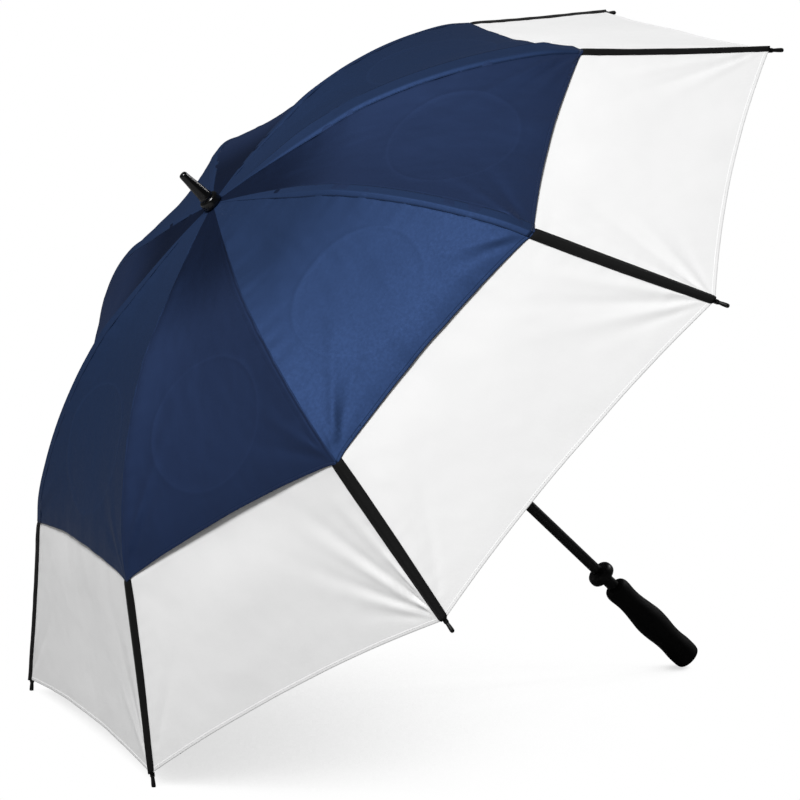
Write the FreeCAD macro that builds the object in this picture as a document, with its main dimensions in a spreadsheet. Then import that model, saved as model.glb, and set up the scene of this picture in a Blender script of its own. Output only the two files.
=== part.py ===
# Golf umbrella, open, as a parametric document in millimetres.
# Frame: origin at the centre of the grip's flat bottom face, +Z along the shaft to the ferrule,
# rib 1 over +X and the other ribs every 45 degrees about +Z.
# Sizes are cells of the spreadsheet "dims"; the features are bound to the cells.
import FreeCAD, Part
import Sketcher
import math
import os

V = FreeCAD.Vector
Rotation = FreeCAD.Rotation
Placement = FreeCAD.Placement
doc = FreeCAD.newDocument("golf_umbrella")
sheet = doc.addObject("Spreadsheet::Sheet", "dims")
SIZE = {}
PIECES = {}


def cell(alias, value):
    """One driving size: its name in column A, its plain number in column B."""
    row = len(SIZE) + 1
    text = "%.6f" % value
    sheet.set("A%d" % row, alias)
    sheet.set("B%d" % row, text)
    sheet.setAlias("B%d" % row, alias)
    SIZE[alias] = float(text)
    return SIZE[alias]


# ---------------------------------------------------------------- driving sizes
RIBS = 8
STEP = 360.0 / RIBS  # degrees from rib to rib
HALF_STEP = STEP / 2

DRIVING = {
    "apex_z": 930.6,  # top of the fabric where it meets the collar
    # shaft
    "shaft_rad": 7.0,
    "shaft_bore": 5.6,  # radius of the hollow
    "shaft_foot": 30.0,  # the shaft stands this far up inside the grip
    "shaft_rise": 12.0,  # shaft above the apex
    # top notch; its radius is also that of the runner's head
    "notch_rad": 15.5,
    "notch_len": 13.0,
    "notch_base_drop": 15.0,
    "notch_gap": 0.02,
    "slot_wide": 3.4,
    "slot_root": 8.9,
    # wire rings that carry the rod eyes, and their channels
    "ring_apothem": 11.5,
    "wire_rad": 0.8,
    "chan_in": 10.3,
    "chan_out": 13.6,
    "chan_high": 2.6,
    # eyes of the ribs and stretchers
    "eye_rad": 2.5,
    "eye_thick": 2.6,
    "eye_bore": 0.95,
    "pivot_drop": 8.0,  # rib pivots lie this far under the apex
    # inner rib, with the bracket and fork for the stretcher
    "rod_rad": 1.75,
    "root_len": 11.2,
    "pin_rad": 1.0,
    "fork_rad": 3.2,
    "fork_in": 1.7,
    "fork_plate": 1.2,
    "collar_rad": 3.0,
    "collar_len": 11.0,
    "bracket_drop": 6.5,
    # bend joint between inner and outer rib
    "knuckle_rad": 2.2,
    "strip_high": 3.0,
    "tongue_thick": 1.8,
    "tongue_len": 5.2,
    "cheek_in": 1.1,
    "cheek_thick": 1.0,
    "cheek_len": 6.5,
    "flex_pin": 0.6,
    "flex_bore": 0.72,
    # stretcher
    "stretch_rad": 1.6,
    "pin_bore": 1.12,
    "strut_gap": 10.0,  # from each pivot to the round rod
    "flat_len": 11.5,
    "flat_high": 2.9,
    "outer_eye_rad": 2.6,
    "outer_eye_thick": 2.8,
    # canopy
    "fabric_thick": 0.6,
    "fabric_gap": 0.3,
    "layer_drop": 1.8,  # the lower canopy passes this far under the upper one
    "upper_start": 14.2,
    "vent_edge_rib": 468.8,
    "vent_edge_mid": 461.2,
    "lower_start": 446.0,
    "hem_rib": 633.0,
    "hem_mid": 628.0,
    # runner
    "runner_head": 12.0,
    "runner_bore": 7.35,
    "sleeve_rad": 10.0,
    "sleeve_len": 52.0,
    "flare_out": 2.4,
    "flare_high": 7.0,
    "window_deep": 20.0,
    "window_side": 3.0,  # window's width beyond the catch slot's
    "window_end": 3.0,  # clearance at each end of the catch
    # spring catches
    "catch_thick": 2.0,
    "catch_len": 20.0,
    "catch_slot": 2.4,
    "catch_slot_len": 23.0,
    "catch_slot_under": 1.5,
    "catch_in": 2.0,
    "catch_out": 6.92,
    "low_catch_z": 236.0,
    "bevel_deep": 3.2,
    "bevel_high": 9.0,
    "bevel_inset": 1.6,
    "bevel_drop": 3.5,
    "bevel_side": 0.5,
    # excess of the cutting tools
    "overcut": 2.0,
    "chan_over": 1.0,
    "hole_len": 10.0,
}
for alias, value in DRIVING.items():
    cell(alias, value)

APEX = SIZE["apex_z"]
SHAFT_TOP = APEX + SIZE["shaft_rise"]
cell("shaft_len", SHAFT_TOP - SIZE["shaft_foot"])
cell("notch_low", APEX - SIZE["notch_base_drop"])

# Meridian of the fabric over a rib: radius, drop under the apex.
RIDGE = [
    (13.0, 0.0), (65.0, 5.2), (105.3, 10.4), (164.45, 19.5), (217.75, 29.25),
    (260.0, 42.9), (294.45, 56.55), (348.4, 82.55), (398.45, 112.45), (443.95, 144.95),
    (468.8, 168.7), (552.5, 248.95), (640.25, 330.85), (650.0, 339.95),
]
for i, (radius, drop) in enumerate(RIDGE):
    cell("ridge_rad_%d" % i, radius)
    cell("ridge_drop_%d" % i, drop)


# ---------------------------------------------------------------- rib geometry
# Points are (x, height from the apex) in the plane of rib 1.
def circle_through(a, b, c):
    """Centre x, centre height and radius of the circle through three points."""
    det = 2 * (a[0] * (b[1] - c[1]) + b[0] * (c[1] - a[1]) + c[0] * (a[1] - b[1]))
    sq_a, sq_b, sq_c = (p[0] ** 2 + p[1] ** 2 for p in (a, b, c))
    x = (sq_a * (b[1] - c[1]) + sq_b * (c[1] - a[1]) + sq_c * (a[1] - b[1])) / det
    z = (sq_a * (c[0] - b[0]) + sq_b * (a[0] - c[0]) + sq_c * (b[0] - a[0])) / det
    return x, z, math.hypot(a[0] - x, a[1] - z)


def direction(start, end):
    """Angle from one point to another, in radians from +X towards +Z."""
    return math.atan2(end[1] - start[1], end[0] - start[0])


def distance(start, end):
    return math.hypot(end[0] - start[0], end[1] - start[1])


# Rib centreline: a flat root, an arc to the bend, a second arc to the knee, a straight end.
PIVOT = (SIZE["ring_apothem"], -SIZE["pivot_drop"])
ROOT = (21.5, -8.05)
MID = (174.25, -25.95)
BEND = (cell("bend_x", 329.85), -cell("bend_drop", 78.33))
KNEE = (cell("knee_x", 470.4), -cell("knee_drop", 177.44))
END = (cell("rod_end_x", 638.07), -cell("rod_end_drop", 333.19))
SEAT_BACK = 10.5  # bracket seat to bend, along the tangent at the bend
INNER_ROD_GAP = 3.4  # the inner rod stops this far short of the bend
OUTER_ROD_GAP = 5.0  # the outer rod starts this far past it
ROD_PAST_END = 4.5
CLOSING_ANGLE = 76.0  # swing of the ribs when the umbrella closes

arc_one_x, arc_one_z, arc_one_rad = circle_through(ROOT, MID, BEND)
arc_one_centre = (arc_one_x, arc_one_z)
cell("arc_one_rad", arc_one_rad)
cell("arc_one_x", arc_one_x)
cell("arc_one_drop", -arc_one_z)

# The second arc is tangent to the straight end at the knee.
end_dir = direction(KNEE, END)
turn = abs(end_dir - direction(BEND, KNEE))
arc_two_rad = distance(BEND, KNEE) / 2 / math.sin(turn)
arc_two_centre = (
    KNEE[0] + arc_two_rad * math.sin(end_dir),
    KNEE[1] - arc_two_rad * math.cos(end_dir),
)
cell("arc_two_rad", arc_two_rad)
cell("arc_two_x", arc_two_centre[0])
cell("arc_two_drop", -arc_two_centre[1])
cell("straight_len", distance(KNEE, END) + ROD_PAST_END)

# Start and end angles of both rods about their arc centres, in degrees.
arc_one_bend = math.degrees(direction(arc_one_centre, BEND))
arc_one_from = arc_one_bend + math.degrees(INNER_ROD_GAP / arc_one_rad)
arc_one_to = math.degrees(direction(arc_one_centre, ROOT))
arc_two_bend = math.degrees(direction(arc_two_centre, BEND))
arc_two_from = math.degrees(direction(arc_two_centre, KNEE))
arc_two_to = arc_two_bend - math.degrees(OUTER_ROD_GAP / arc_two_rad)

# Slopes of the ribs, in degrees.
inner_bend_deg = arc_one_bend - 90
outer_bend_deg = arc_two_bend - 90
end_deg = math.degrees(end_dir)

# Bracket seat on the inner rib, and the stretcher's pivot hung under it.
bend_dir = math.radians(inner_bend_deg)
SEAT = (BEND[0] - SEAT_BACK * math.cos(bend_dir), BEND[1] - SEAT_BACK * math.sin(bend_dir))
HANG = (
    SEAT[0] + SIZE["bracket_drop"] * math.sin(bend_dir),
    SEAT[1] - SIZE["bracket_drop"] * math.cos(bend_dir),
)
cell("hang_x", HANG[0])
cell("hang_drop", -HANG[1])
cell("seat_x", SEAT[0])
cell("seat_drop", -SEAT[1])

# Both links are equal, so the runner's pivot ring lies straight under the notch's.
link = distance(PIVOT, HANG)
link_deg = math.degrees(math.atan2(PIVOT[1] - HANG[1], HANG[0] - PIVOT[0]))


def runner_depth(angle):
    """Depth of the runner's pivots under the apex when the links slope at an angle."""
    return SIZE["pivot_drop"] + 2 * link * math.sin(math.radians(angle))


cell("link_len", link)
cell("runner_drop", runner_depth(link_deg))
cell("closed_runner_z", APEX - runner_depth(link_deg + CLOSING_ANGLE))

# The upper catch stands just under the foot of the open runner.
CATCH_AZIMUTH = HALF_STEP
CATCH_CLEAR = 1.5
open_foot = APEX - SIZE["runner_drop"] - SIZE["runner_head"] / 2 - SIZE["sleeve_len"]
cell("top_catch_z", open_foot - CATCH_CLEAR - SIZE["catch_len"])


# ---------------------------------------------------------------- builders
def prim(kind, name, rot=None, x=None, y=None, z=None, **sizes):
    """A Part primitive; its sizes and position are expressions."""
    obj = doc.addObject("Part::" + kind, name)
    for prop, expression in sizes.items():
        obj.setExpression(prop, expression)
    obj.Placement = Placement(V(0, 0, 0), rot or Rotation())
    for axis, expression in (("x", x), ("y", y), ("z", z)):
        if expression is not None:
            obj.setExpression("Placement.Base." + axis, expression)
    return obj


def fuse(name, shapes):
    obj = doc.addObject("Part::MultiFuse", name)
    obj.Shapes = shapes
    return obj


def cut(name, base, tool):
    obj = doc.addObject("Part::Cut", name)
    obj.Base = base
    obj.Tool = tool
    return obj


def about_z(angle):
    return Rotation(V(0, 0, 1), angle)


def spun(angle):
    return Placement(V(0, 0, 0), about_z(angle))


def over_rib(k):
    return spun((k - 1) * STEP)


def lift(z):
    return Placement(V(0, 0, z), Rotation())


def along(angle):
    """Turns +Z to an angle in the rib's plane, from +X towards +Z."""
    return Rotation(V(0, 1, 0), 90 - angle)


def polar(radial, side, angle):
    """x and y of a point out along an angle and a step to the clockwise side of that line."""
    return {
        "x": "(%s) * cos(%g deg) + (%s) * sin(%g deg)" % (radial, angle, side, angle),
        "y": "(%s) * sin(%g deg) - (%s) * cos(%g deg)" % (radial, angle, side, angle),
    }


def piece(obj, label, placement):
    obj.Label = label
    obj.Placement = placement
    PIECES[label] = obj


def turned(label, outline, placement, stem=None):
    """A body turned about +Z from a closed half outline of (radius, height) corners."""
    stem = stem or label
    body = doc.addObject("PartDesign::Body", "body_" + label)
    sketch = body.newObject("Sketcher::SketchObject", "outline_" + label)
    plane = [f for f in body.Origin.OriginFeatures if f.Role == "XZ_Plane"][0]
    sketch.AttachmentSupport = [(plane, "")]
    sketch.MapMode = "FlatFace"
    count = len(outline)
    for i in range(count):
        start, end = outline[i], outline[(i + 1) % count]
        line = Part.LineSegment(V(start[0], start[1], 0), V(end[0], end[1], 0))
        sketch.addGeometry(line, False)
    for i in range(count):
        sketch.addConstraint(Sketcher.Constraint("Coincident", i, 2, (i + 1) % count, 1))
    for i, (radius, height) in enumerate(outline):
        # A zero coordinate puts the corner on the axis: -2 is vertical, -1 horizontal.
        for word, kind, value, axis in (
            ("out", "DistanceX", radius, -2),
            ("up", "DistanceY", height, -1),
        ):
            if value == 0:
                sketch.addConstraint(Sketcher.Constraint("PointOnObject", i, 1, axis))
                continue
            alias = "%s_%s_%d" % (stem, word, i)
            if alias not in SIZE:
                cell(alias, value)
            index = sketch.addConstraint(Sketcher.Constraint(kind, -1, 1, i, 1, value))
            sketch.setExpression("Constraints[%d]" % index, "dims." + alias)
    turning = body.newObject("PartDesign::Revolution", "turn_" + label)
    turning.Profile = sketch
    turning.ReferenceAxis = (sketch, ["V_Axis"])
    turning.Angle = 360.0
    piece(body, label, placement)


def smooth_outline(stations, count):
    """Catmull-Rom points through the stations, `count` to each span."""
    points = []
    last = len(stations) - 1
    for i in range(last):
        p0 = stations[max(i - 1, 0)]
        p1, p2 = stations[i], stations[i + 1]
        p3 = stations[min(i + 2, last)]
        for j in range(count):
            t = j / float(count)
            points.append(tuple(
                0.5 * (2 * p1[c] + (p2[c] - p0[c]) * t
                       + (2 * p0[c] - 5 * p1[c] + 4 * p2[c] - p3[c]) * t * t
                       + (3 * p1[c] - p0[c] - 3 * p2[c] + p3[c]) * t**3)
                for c in (0, 1)))
    points.append(stations[-1])
    return points


# ---------------------------------------------------------------- turned pieces on the axis
# Outlines are (radius, height above the piece's own foot).
GRIP_SIDE = [
    (17.0, 1.6), (18.1, 5.5), (18.4, 10.0), (18.5, 22.0), (17.4, 36.0), (17.7, 50.0),
    (19.4, 66.0), (20.0, 82.0), (18.3, 98.0), (16.3, 114.0), (15.8, 128.0), (16.9, 142.0),
    (16.7, 148.5),
]
GRIP_TOP = 154.9
GRIP = [(0.0, 0.0), (14.6, 0.0)] + smooth_outline(GRIP_SIDE, 2) + [
    (14.6, 153.2), (11.0, GRIP_TOP), (SIZE["shaft_rad"], GRIP_TOP),
    (SIZE["shaft_rad"], SIZE["shaft_foot"]), (0.0, SIZE["shaft_foot"]),
]
GUARD_Z = 155.0
GUARD = [
    (7.05, 0.0), (8.0, 0.0), (8.0, 14.5), (9.0, 16.6), (12.2, 17.6), (15.6, 19.0),
    (17.6, 21.6), (18.1, 25.2), (17.6, 28.8), (15.6, 31.8), (12.0, 33.8), (8.6, 34.6),
    (7.05, 34.6),
]
FERRULE = [
    (0.0, 0.0), (9.2, 0.0), (9.2, 3.0), (8.6, 4.6), (5.45, 43.2), (5.0, 44.8), (3.9, 45.6),
    (0.0, 45.6),
]
COLLAR_RISE = 0.6
COLLAR = [
    (7.05, 0.0), (13.2, 0.0), (13.75, 0.6), (13.75, 5.0), (13.0, 5.5), (13.0, 6.2),
    (13.75, 6.7), (13.75, 9.4), (12.9, 11.0), (11.4, 11.4), (7.05, 11.4),
]
turned("grip", GRIP, lift(0))
turned("hand_guard", GUARD, lift(GUARD_Z))
turned("ferrule", FERRULE, lift(SHAFT_TOP))
turned("top_collar", COLLAR, lift(APEX + COLLAR_RISE))


# ---------------------------------------------------------------- shaft and spring catches
def shaft():
    """A tube with a slot for each spring catch."""
    tube = prim("Cylinder", "tube", Radius="dims.shaft_rad", Height="dims.shaft_len",
                z="dims.shaft_foot")
    tools = [prim("Cylinder", "lumen", Radius="dims.shaft_bore", Height="dims.shaft_len",
                  z="dims.shaft_foot")]
    for place in ("top", "low"):
        tools.append(prim(
            "Box", "slot_" + place, Length="dims.shaft_rad + 2", Width="dims.catch_slot",
            Height="dims.catch_slot_len", y="-dims.catch_slot / 2",
            z="dims.%s_catch_z - dims.catch_slot_under" % place))
    piece(cut("shaft_cut", tube, fuse("slots_all", tools)), "shaft", spun(CATCH_AZIMUTH))


def catch(label, place):
    """A flat plate whose lower outer edge is bevelled for the runner's sleeve."""
    bevel_tilt = 18
    plate = prim(
        "Box", "plate_" + place, Length="dims.catch_out - dims.catch_in",
        Width="dims.catch_thick", Height="dims.catch_len",
        x="dims.catch_in", y="-dims.catch_thick / 2", z="dims.%s_catch_z" % place)
    bevel = prim(
        "Wedge", "bevel_" + place, rot=Rotation(V(0, 1, 0), bevel_tilt),
        Xmin="0", Ymin="0", Zmin="0", X2min="0", Z2min="0",
        Xmax="dims.bevel_deep", Ymax="dims.catch_thick + 2 * dims.bevel_side",
        Zmax="dims.bevel_high", X2max="dims.bevel_deep", Z2max="dims.bevel_high",
        x="dims.catch_out - dims.bevel_inset", y="-dims.catch_thick / 2 - dims.bevel_side",
        z="dims.%s_catch_z - dims.bevel_drop" % place)
    piece(cut("catch_cut_" + place, plate, bevel), label, spun(CATCH_AZIMUTH))


shaft()
catch("catch_top", "top")
catch("catch_bottom", "low")


# ---------------------------------------------------------------- notch, runner and wire rings
NOTCH_PIVOT_Z = "dims.apex_z - dims.pivot_drop"
RUNNER_PIVOT_Z = "dims.apex_z - dims.runner_drop"


def slotted(label, z_low, z_pivot, head, extra_base, extra_tools):
    """A disc with eight slots for the rod eyes and a channel for the wire ring."""
    base = prim("Cylinder", label + "_disc", Radius="dims.notch_rad", Height=head, z=z_low)
    if extra_base:
        base = fuse(label + "_base", [base] + extra_base)
    outer = prim("Cylinder", label + "_chan_outer", Radius="dims.chan_out",
                 Height="dims.chan_high", z=z_pivot + " - dims.chan_high / 2")
    inner = prim("Cylinder", label + "_chan_inner", Radius="dims.chan_in",
                 Height="dims.chan_high + 2 * dims.chan_over",
                 z=z_pivot + " - dims.chan_high / 2 - dims.chan_over")
    tools = [cut(label + "_chan", outer, inner)] + extra_tools
    for k in range(RIBS):
        tools.append(prim(
            "Box", "%s_slot_%d" % (label, k), rot=about_z(k * STEP),
            Length="dims.notch_rad", Width="dims.slot_wide",
            Height=head + " + 2 * dims.overcut", z=z_low + " - dims.overcut",
            **polar("dims.slot_root", "dims.slot_wide / 2", k * STEP)))
    piece(cut(label + "_cut", base, fuse(label + "_tools", tools)), label, lift(0))


def top_notch():
    bore = prim("Cylinder", "notch_bore", Radius="dims.shaft_rad + dims.notch_gap",
                Height="dims.notch_len + 2 * dims.overcut",
                z="dims.notch_low - dims.overcut")
    slotted("top_notch", "dims.notch_low", NOTCH_PIVOT_Z, "dims.notch_len", [], [bore])


def runner():
    """Slotted head on a flared sleeve, with a window where the closed runner meets the catch."""
    head_low = RUNNER_PIVOT_Z + " - dims.runner_head / 2"
    foot = head_low + " - dims.sleeve_len"
    sleeve = prim("Cylinder", "runner_sleeve", Radius="dims.sleeve_rad",
                  Height="dims.sleeve_len", z=foot)
    flare = prim("Cone", "runner_flare", Radius1="dims.sleeve_rad + dims.flare_out",
                 Radius2="dims.sleeve_rad", Height="dims.flare_high", z=foot)
    bore = prim("Cylinder", "runner_bore", Radius="dims.runner_bore",
                Height="dims.sleeve_len + dims.runner_head + 2 * dims.overcut",
                z=foot + " - dims.overcut")
    window = prim(
        "Box", "runner_window", rot=about_z(CATCH_AZIMUTH), Length="dims.window_deep",
        Width="dims.catch_slot + dims.window_side",
        Height="dims.catch_len + 2 * dims.window_end",
        z="dims.low_catch_z + dims.apex_z - dims.runner_drop - dims.closed_runner_z"
          " - dims.window_end",
        **polar("0", "(dims.catch_slot + dims.window_side) / 2", CATCH_AZIMUTH))
    slotted("runner", head_low, RUNNER_PIVOT_Z, "dims.runner_head", [sleeve, flare],
            [bore, window])


def wire_ring(label, z):
    """An eight-sided wire ring, so that each rod eye turns on a straight stretch of it."""
    half_side = "dims.ring_apothem * tan(%g deg)" % HALF_STEP
    corner_rad = "dims.ring_apothem / cos(%g deg)" % HALF_STEP
    shapes = []
    for k in range(RIBS):
        shapes.append(prim(
            "Cylinder", "%s_side_%d" % (label, k),
            rot=about_z(k * STEP).multiply(Rotation(V(1, 0, 0), -90)),
            Radius="dims.wire_rad", Height="2 * " + half_side, z=z,
            **polar("dims.ring_apothem", half_side, k * STEP)))
        shapes.append(prim(
            "Sphere", "%s_corner_%d" % (label, k), Radius="dims.wire_rad", z=z,
            **polar(corner_rad, "0", (k + 0.5) * STEP)))
    piece(fuse(label + "_all", shapes), label, lift(0))


top_notch()
runner()
wire_ring("notch_wire", NOTCH_PIVOT_Z)
wire_ring("runner_wire", RUNNER_PIVOT_Z)

# ---------------------------------------------------------------- ribs, stretchers and tips
# Each is built in the plane of rib 1 and spun to its place. Joints are (x, z) expressions.
RIB_PIVOT_AT = ("dims.ring_apothem", NOTCH_PIVOT_Z)
RUNNER_PIVOT_AT = ("dims.ring_apothem", RUNNER_PIVOT_Z)
BEND_AT = ("dims.bend_x", "dims.apex_z - dims.bend_drop")
HANG_AT = ("dims.hang_x", "dims.apex_z - dims.hang_drop")
SEAT_AT = ("dims.seat_x", "dims.apex_z - dims.seat_drop")
KNEE_AT = ("dims.knee_x", "dims.apex_z - dims.knee_drop")


def rod_arc(name, arc, angle_from, angle_to):
    """A round rod bent to an arc: a length of torus whose ring lies in XZ."""
    upright = Rotation(V(1, 0, 0), 90)  # ring plane XY to XZ, +Y to +Z
    torus = prim("Torus", name, rot=Rotation(V(0, 1, 0), -angle_from).multiply(upright),
                 Radius1="dims.%s_rad" % arc, Radius2="dims.rod_rad",
                 x="dims.%s_x" % arc, z="dims.apex_z - dims.%s_drop" % arc)
    torus.Angle3 = angle_to - angle_from
    return torus


def rod(name, point, angle, radius, length, shift="0"):
    """A straight round rod along an angle, starting a shift along it from the point."""
    a = math.radians(angle)
    return prim("Cylinder", name, rot=along(angle), Radius=radius, Height=length,
                x="%s + (%s) * %.9f" % (point[0], shift, math.cos(a)),
                z="%s + (%s) * %.9f" % (point[1], shift, math.sin(a)))


def bar(name, point, angle, length, high, thick, y_mid="0"):
    """A flat bar from a point along an angle, centred on that line."""
    a = math.radians(angle)
    return prim("Box", name, rot=Rotation(V(0, 1, 0), -angle),
                Length=length, Width=thick, Height=high,
                x="%s + (%s) / 2 * %.9f" % (point[0], high, math.sin(a)),
                y="%s - (%s) / 2" % (y_mid, thick),
                z="%s - (%s) / 2 * %.9f" % (point[1], high, math.cos(a)))


def disc(name, point, radius, thick, y_mid="0"):
    """A round plate or pin across the rib's plane, its axis along Y."""
    return prim("Cylinder", name, rot=Rotation(V(1, 0, 0), -90), Radius=radius, Height=thick,
                x=point[0], y="%s - (%s) / 2" % (y_mid, thick), z=point[1])


def plate_pair(name, tail, point, angle, radius, length, high, thick, y_mid):
    """Two round-ended plates, one each side of the rib's plane."""
    plates = []
    for side, sign in (("plus", ""), ("minus", "-")):
        y_side = "%s(%s)" % (sign, y_mid)
        plates.append(disc("%s_%s%s" % (name, side, tail), point, radius, thick, y_side))
        plates.append(bar("%s_bar_%s%s" % (name, side, tail), point, angle, length, high,
                          thick, y_side))
    return plates


def rib_inner(k):
    """Eye, flat root, bent rod, bracket with the stretcher's fork, tongue of the bend."""
    n = "_%d" % k
    shapes = [
        rod_arc("rod_in" + n, "arc_one", arc_one_from, arc_one_to),
        bar("root_bar" + n, RIB_PIVOT_AT, 0.0, "dims.root_len", "2 * dims.rod_rad",
            "dims.eye_thick"),
        disc("eye" + n, RIB_PIVOT_AT, "dims.eye_rad", "dims.eye_thick"),
        rod("bracket_collar" + n, SEAT_AT, inner_bend_deg, "dims.collar_rad",
            "dims.collar_len", "-dims.collar_len / 2"),
    ]
    shapes += plate_pair("fork", n, HANG_AT, inner_bend_deg + 90, "dims.fork_rad",
                         "dims.bracket_drop", "2 * dims.fork_rad", "dims.fork_plate",
                         "dims.fork_in + dims.fork_plate / 2")
    shapes += [
        disc("pin" + n, HANG_AT, "dims.pin_rad", "2 * dims.fork_in + 2 * dims.fork_plate"),
        disc("tongue" + n, BEND_AT, "dims.knuckle_rad", "dims.tongue_thick"),
        bar("tongue_bar" + n, BEND_AT, inner_bend_deg + 180, "dims.tongue_len",
            "dims.strip_high", "dims.tongue_thick"),
    ]
    holes = [
        disc("eye_hole" + n, RIB_PIVOT_AT, "dims.eye_bore", "dims.hole_len"),
        disc("flex_hole" + n, BEND_AT, "dims.flex_bore", "dims.hole_len"),
    ]
    solid = cut("rib_in_cut" + n, fuse("rib_in_all" + n, shapes),
                fuse("rib_in_holes" + n, holes))
    piece(solid, "rib_inner" + n, over_rib(k))


def rib_outer(k):
    """Bent rod, straight rod, cheeks and pin of the bend."""
    n = "_%d" % k
    shapes = [
        rod_arc("rod_out" + n, "arc_two", arc_two_from, arc_two_to),
        rod("rod_end" + n, KNEE_AT, end_deg, "dims.rod_rad", "dims.straight_len"),
    ]
    shapes += plate_pair("cheek", n, BEND_AT, outer_bend_deg, "dims.knuckle_rad",
                         "dims.cheek_len", "dims.strip_high", "dims.cheek_thick",
                         "dims.cheek_in + dims.cheek_thick / 2")
    shapes.append(disc("flex_pin" + n, BEND_AT, "dims.flex_pin",
                       "2 * dims.cheek_in + 2 * dims.cheek_thick"))
    piece(fuse("rib_out_all" + n, shapes), "rib_outer" + n, over_rib(k))


def stretcher(k):
    """A straight rod with a flattened eye at each end."""
    n = "_%d" % k
    inward = 180 + link_deg
    shapes = [rod("strut" + n, HANG_AT, inward, "dims.stretch_rad",
                  "dims.link_len - 2 * dims.strut_gap", "dims.strut_gap")]
    for place, point, angle, thick, radius in (
        ("outer", HANG_AT, inward, "dims.outer_eye_thick", "dims.outer_eye_rad"),
        ("runner", RUNNER_PIVOT_AT, link_deg, "dims.eye_thick", "dims.eye_rad"),
    ):
        shapes.append(disc("strut_eye_%s%s" % (place, n), point, radius, thick))
        shapes.append(bar("strut_flat_%s%s" % (place, n), point, angle, "dims.flat_len",
                          "dims.flat_high", thick))
    holes = [
        disc("strut_hole_outer" + n, HANG_AT, "dims.pin_bore", "dims.hole_len"),
        disc("strut_hole_runner" + n, RUNNER_PIVOT_AT, "dims.eye_bore", "dims.hole_len"),
    ]
    solid = cut("strut_cut" + n, fuse("strut_all" + n, shapes), fuse("strut_holes" + n, holes))
    piece(solid, "stretcher" + n, over_rib(k))


# Cap over the rod's end, with a narrow neck and a round bead: radius, distance outwards.
TIP = [
    (0.0, 6.2), (0.0, 19.5), (1.4, 19.2), (2.4, 18.1), (2.9, 16.2), (2.6, 14.3), (1.9, 12.8),
    (1.7, 11.0), (2.2, 9.3), (2.9, 7.4), (3.0, 4.5), (2.8, 0.0), (1.8, 0.0), (1.8, 6.2),
]
TIP_BACK = 1.5  # the cap starts this far before the rib's end point


def tip(k):
    foot = V(END[0] - TIP_BACK * math.cos(end_dir), 0,
             APEX + END[1] - TIP_BACK * math.sin(end_dir))
    place = over_rib(k).multiply(Placement(foot, along(end_deg)))
    turned("tip_%d" % k, TIP, place, stem="tip")


for k in range(1, RIBS + 1):
    rib_inner(k)
    rib_outer(k)
    stretcher(k)
    tip(k)

# ---------------------------------------------------------------- canopy
ACROSS = [-1.0, -0.5, 0.0, 0.5, 1.0]  # places across a gore, from one rib to the next
HALF_GORE = math.radians(HALF_STEP)


def ridge(r):
    """Height over a rib at a radius, by a cubic Hermite curve through the stations."""
    slopes = [-(b[1] - a[1]) / (b[0] - a[0]) for a, b in zip(RIDGE, RIDGE[1:])]
    tangents = [slopes[0]]
    tangents += [0.5 * (a + b) for a, b in zip(slopes, slopes[1:])]
    tangents.append(slopes[-1])
    i = 0
    while i < len(RIDGE) - 2 and r > RIDGE[i + 1][0]:
        i += 1
    width = RIDGE[i + 1][0] - RIDGE[i][0]
    t = (r - RIDGE[i][0]) / width
    return (
        -(2 * t**3 - 3 * t**2 + 1) * RIDGE[i][1]
        + (t**3 - 2 * t**2 + t) * width * tangents[i]
        - (-2 * t**3 + 3 * t**2) * RIDGE[i + 1][1]
        + (t**3 - t**2) * width * tangents[i + 1]
    )


def ramp(r, start, span):
    """0 before the start radius, 1 past the span, straight between."""
    return min(max((r - start) / span, 0.0), 1.0)


def sag(r):
    """How far a gore hangs inside the straight line between its two ribs, at mid gore."""
    deepest = 8.0
    rise = ramp(r, 40.0, 200.0)
    fade = ramp(r, 330.0, 180.0)
    return deepest * rise**2 * (3 - 2 * rise) * (1 - 0.8 * fade**2 * (3 - 2 * fade))


def fabric(u, r, drop):
    """A point of a gore: u from one rib (-1) to the next (+1), r the radius along the rib."""
    reach = 0.5
    slope = (ridge(r + reach) - ridge(r - reach)) / (2 * reach)
    length = math.hypot(1.0, slope)
    # inward normal of the meridian
    normal_r = slope / length
    normal_z = -1.0 / length
    depth = drop + sag(r) * (1 - u * u)
    mid_r = r * math.cos(HALF_GORE)
    # the side edges stay half a gap inside the rib's plane at every depth
    half_width = (mid_r + normal_r * drop) * math.tan(HALF_GORE) - SIZE["fabric_gap"] / 2
    return V(mid_r + normal_r * depth, half_width * u, APEX + ridge(r) + normal_z * depth)


def upper_drop(r):
    return 0.0


def lower_drop(r):
    """The lower canopy hangs clear under the upper one's edge and rises to the hem."""
    hem_drop = 0.25
    return SIZE["layer_drop"] + (hem_drop - SIZE["layer_drop"]) * ramp(r, 468.0, 92.0)


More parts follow.
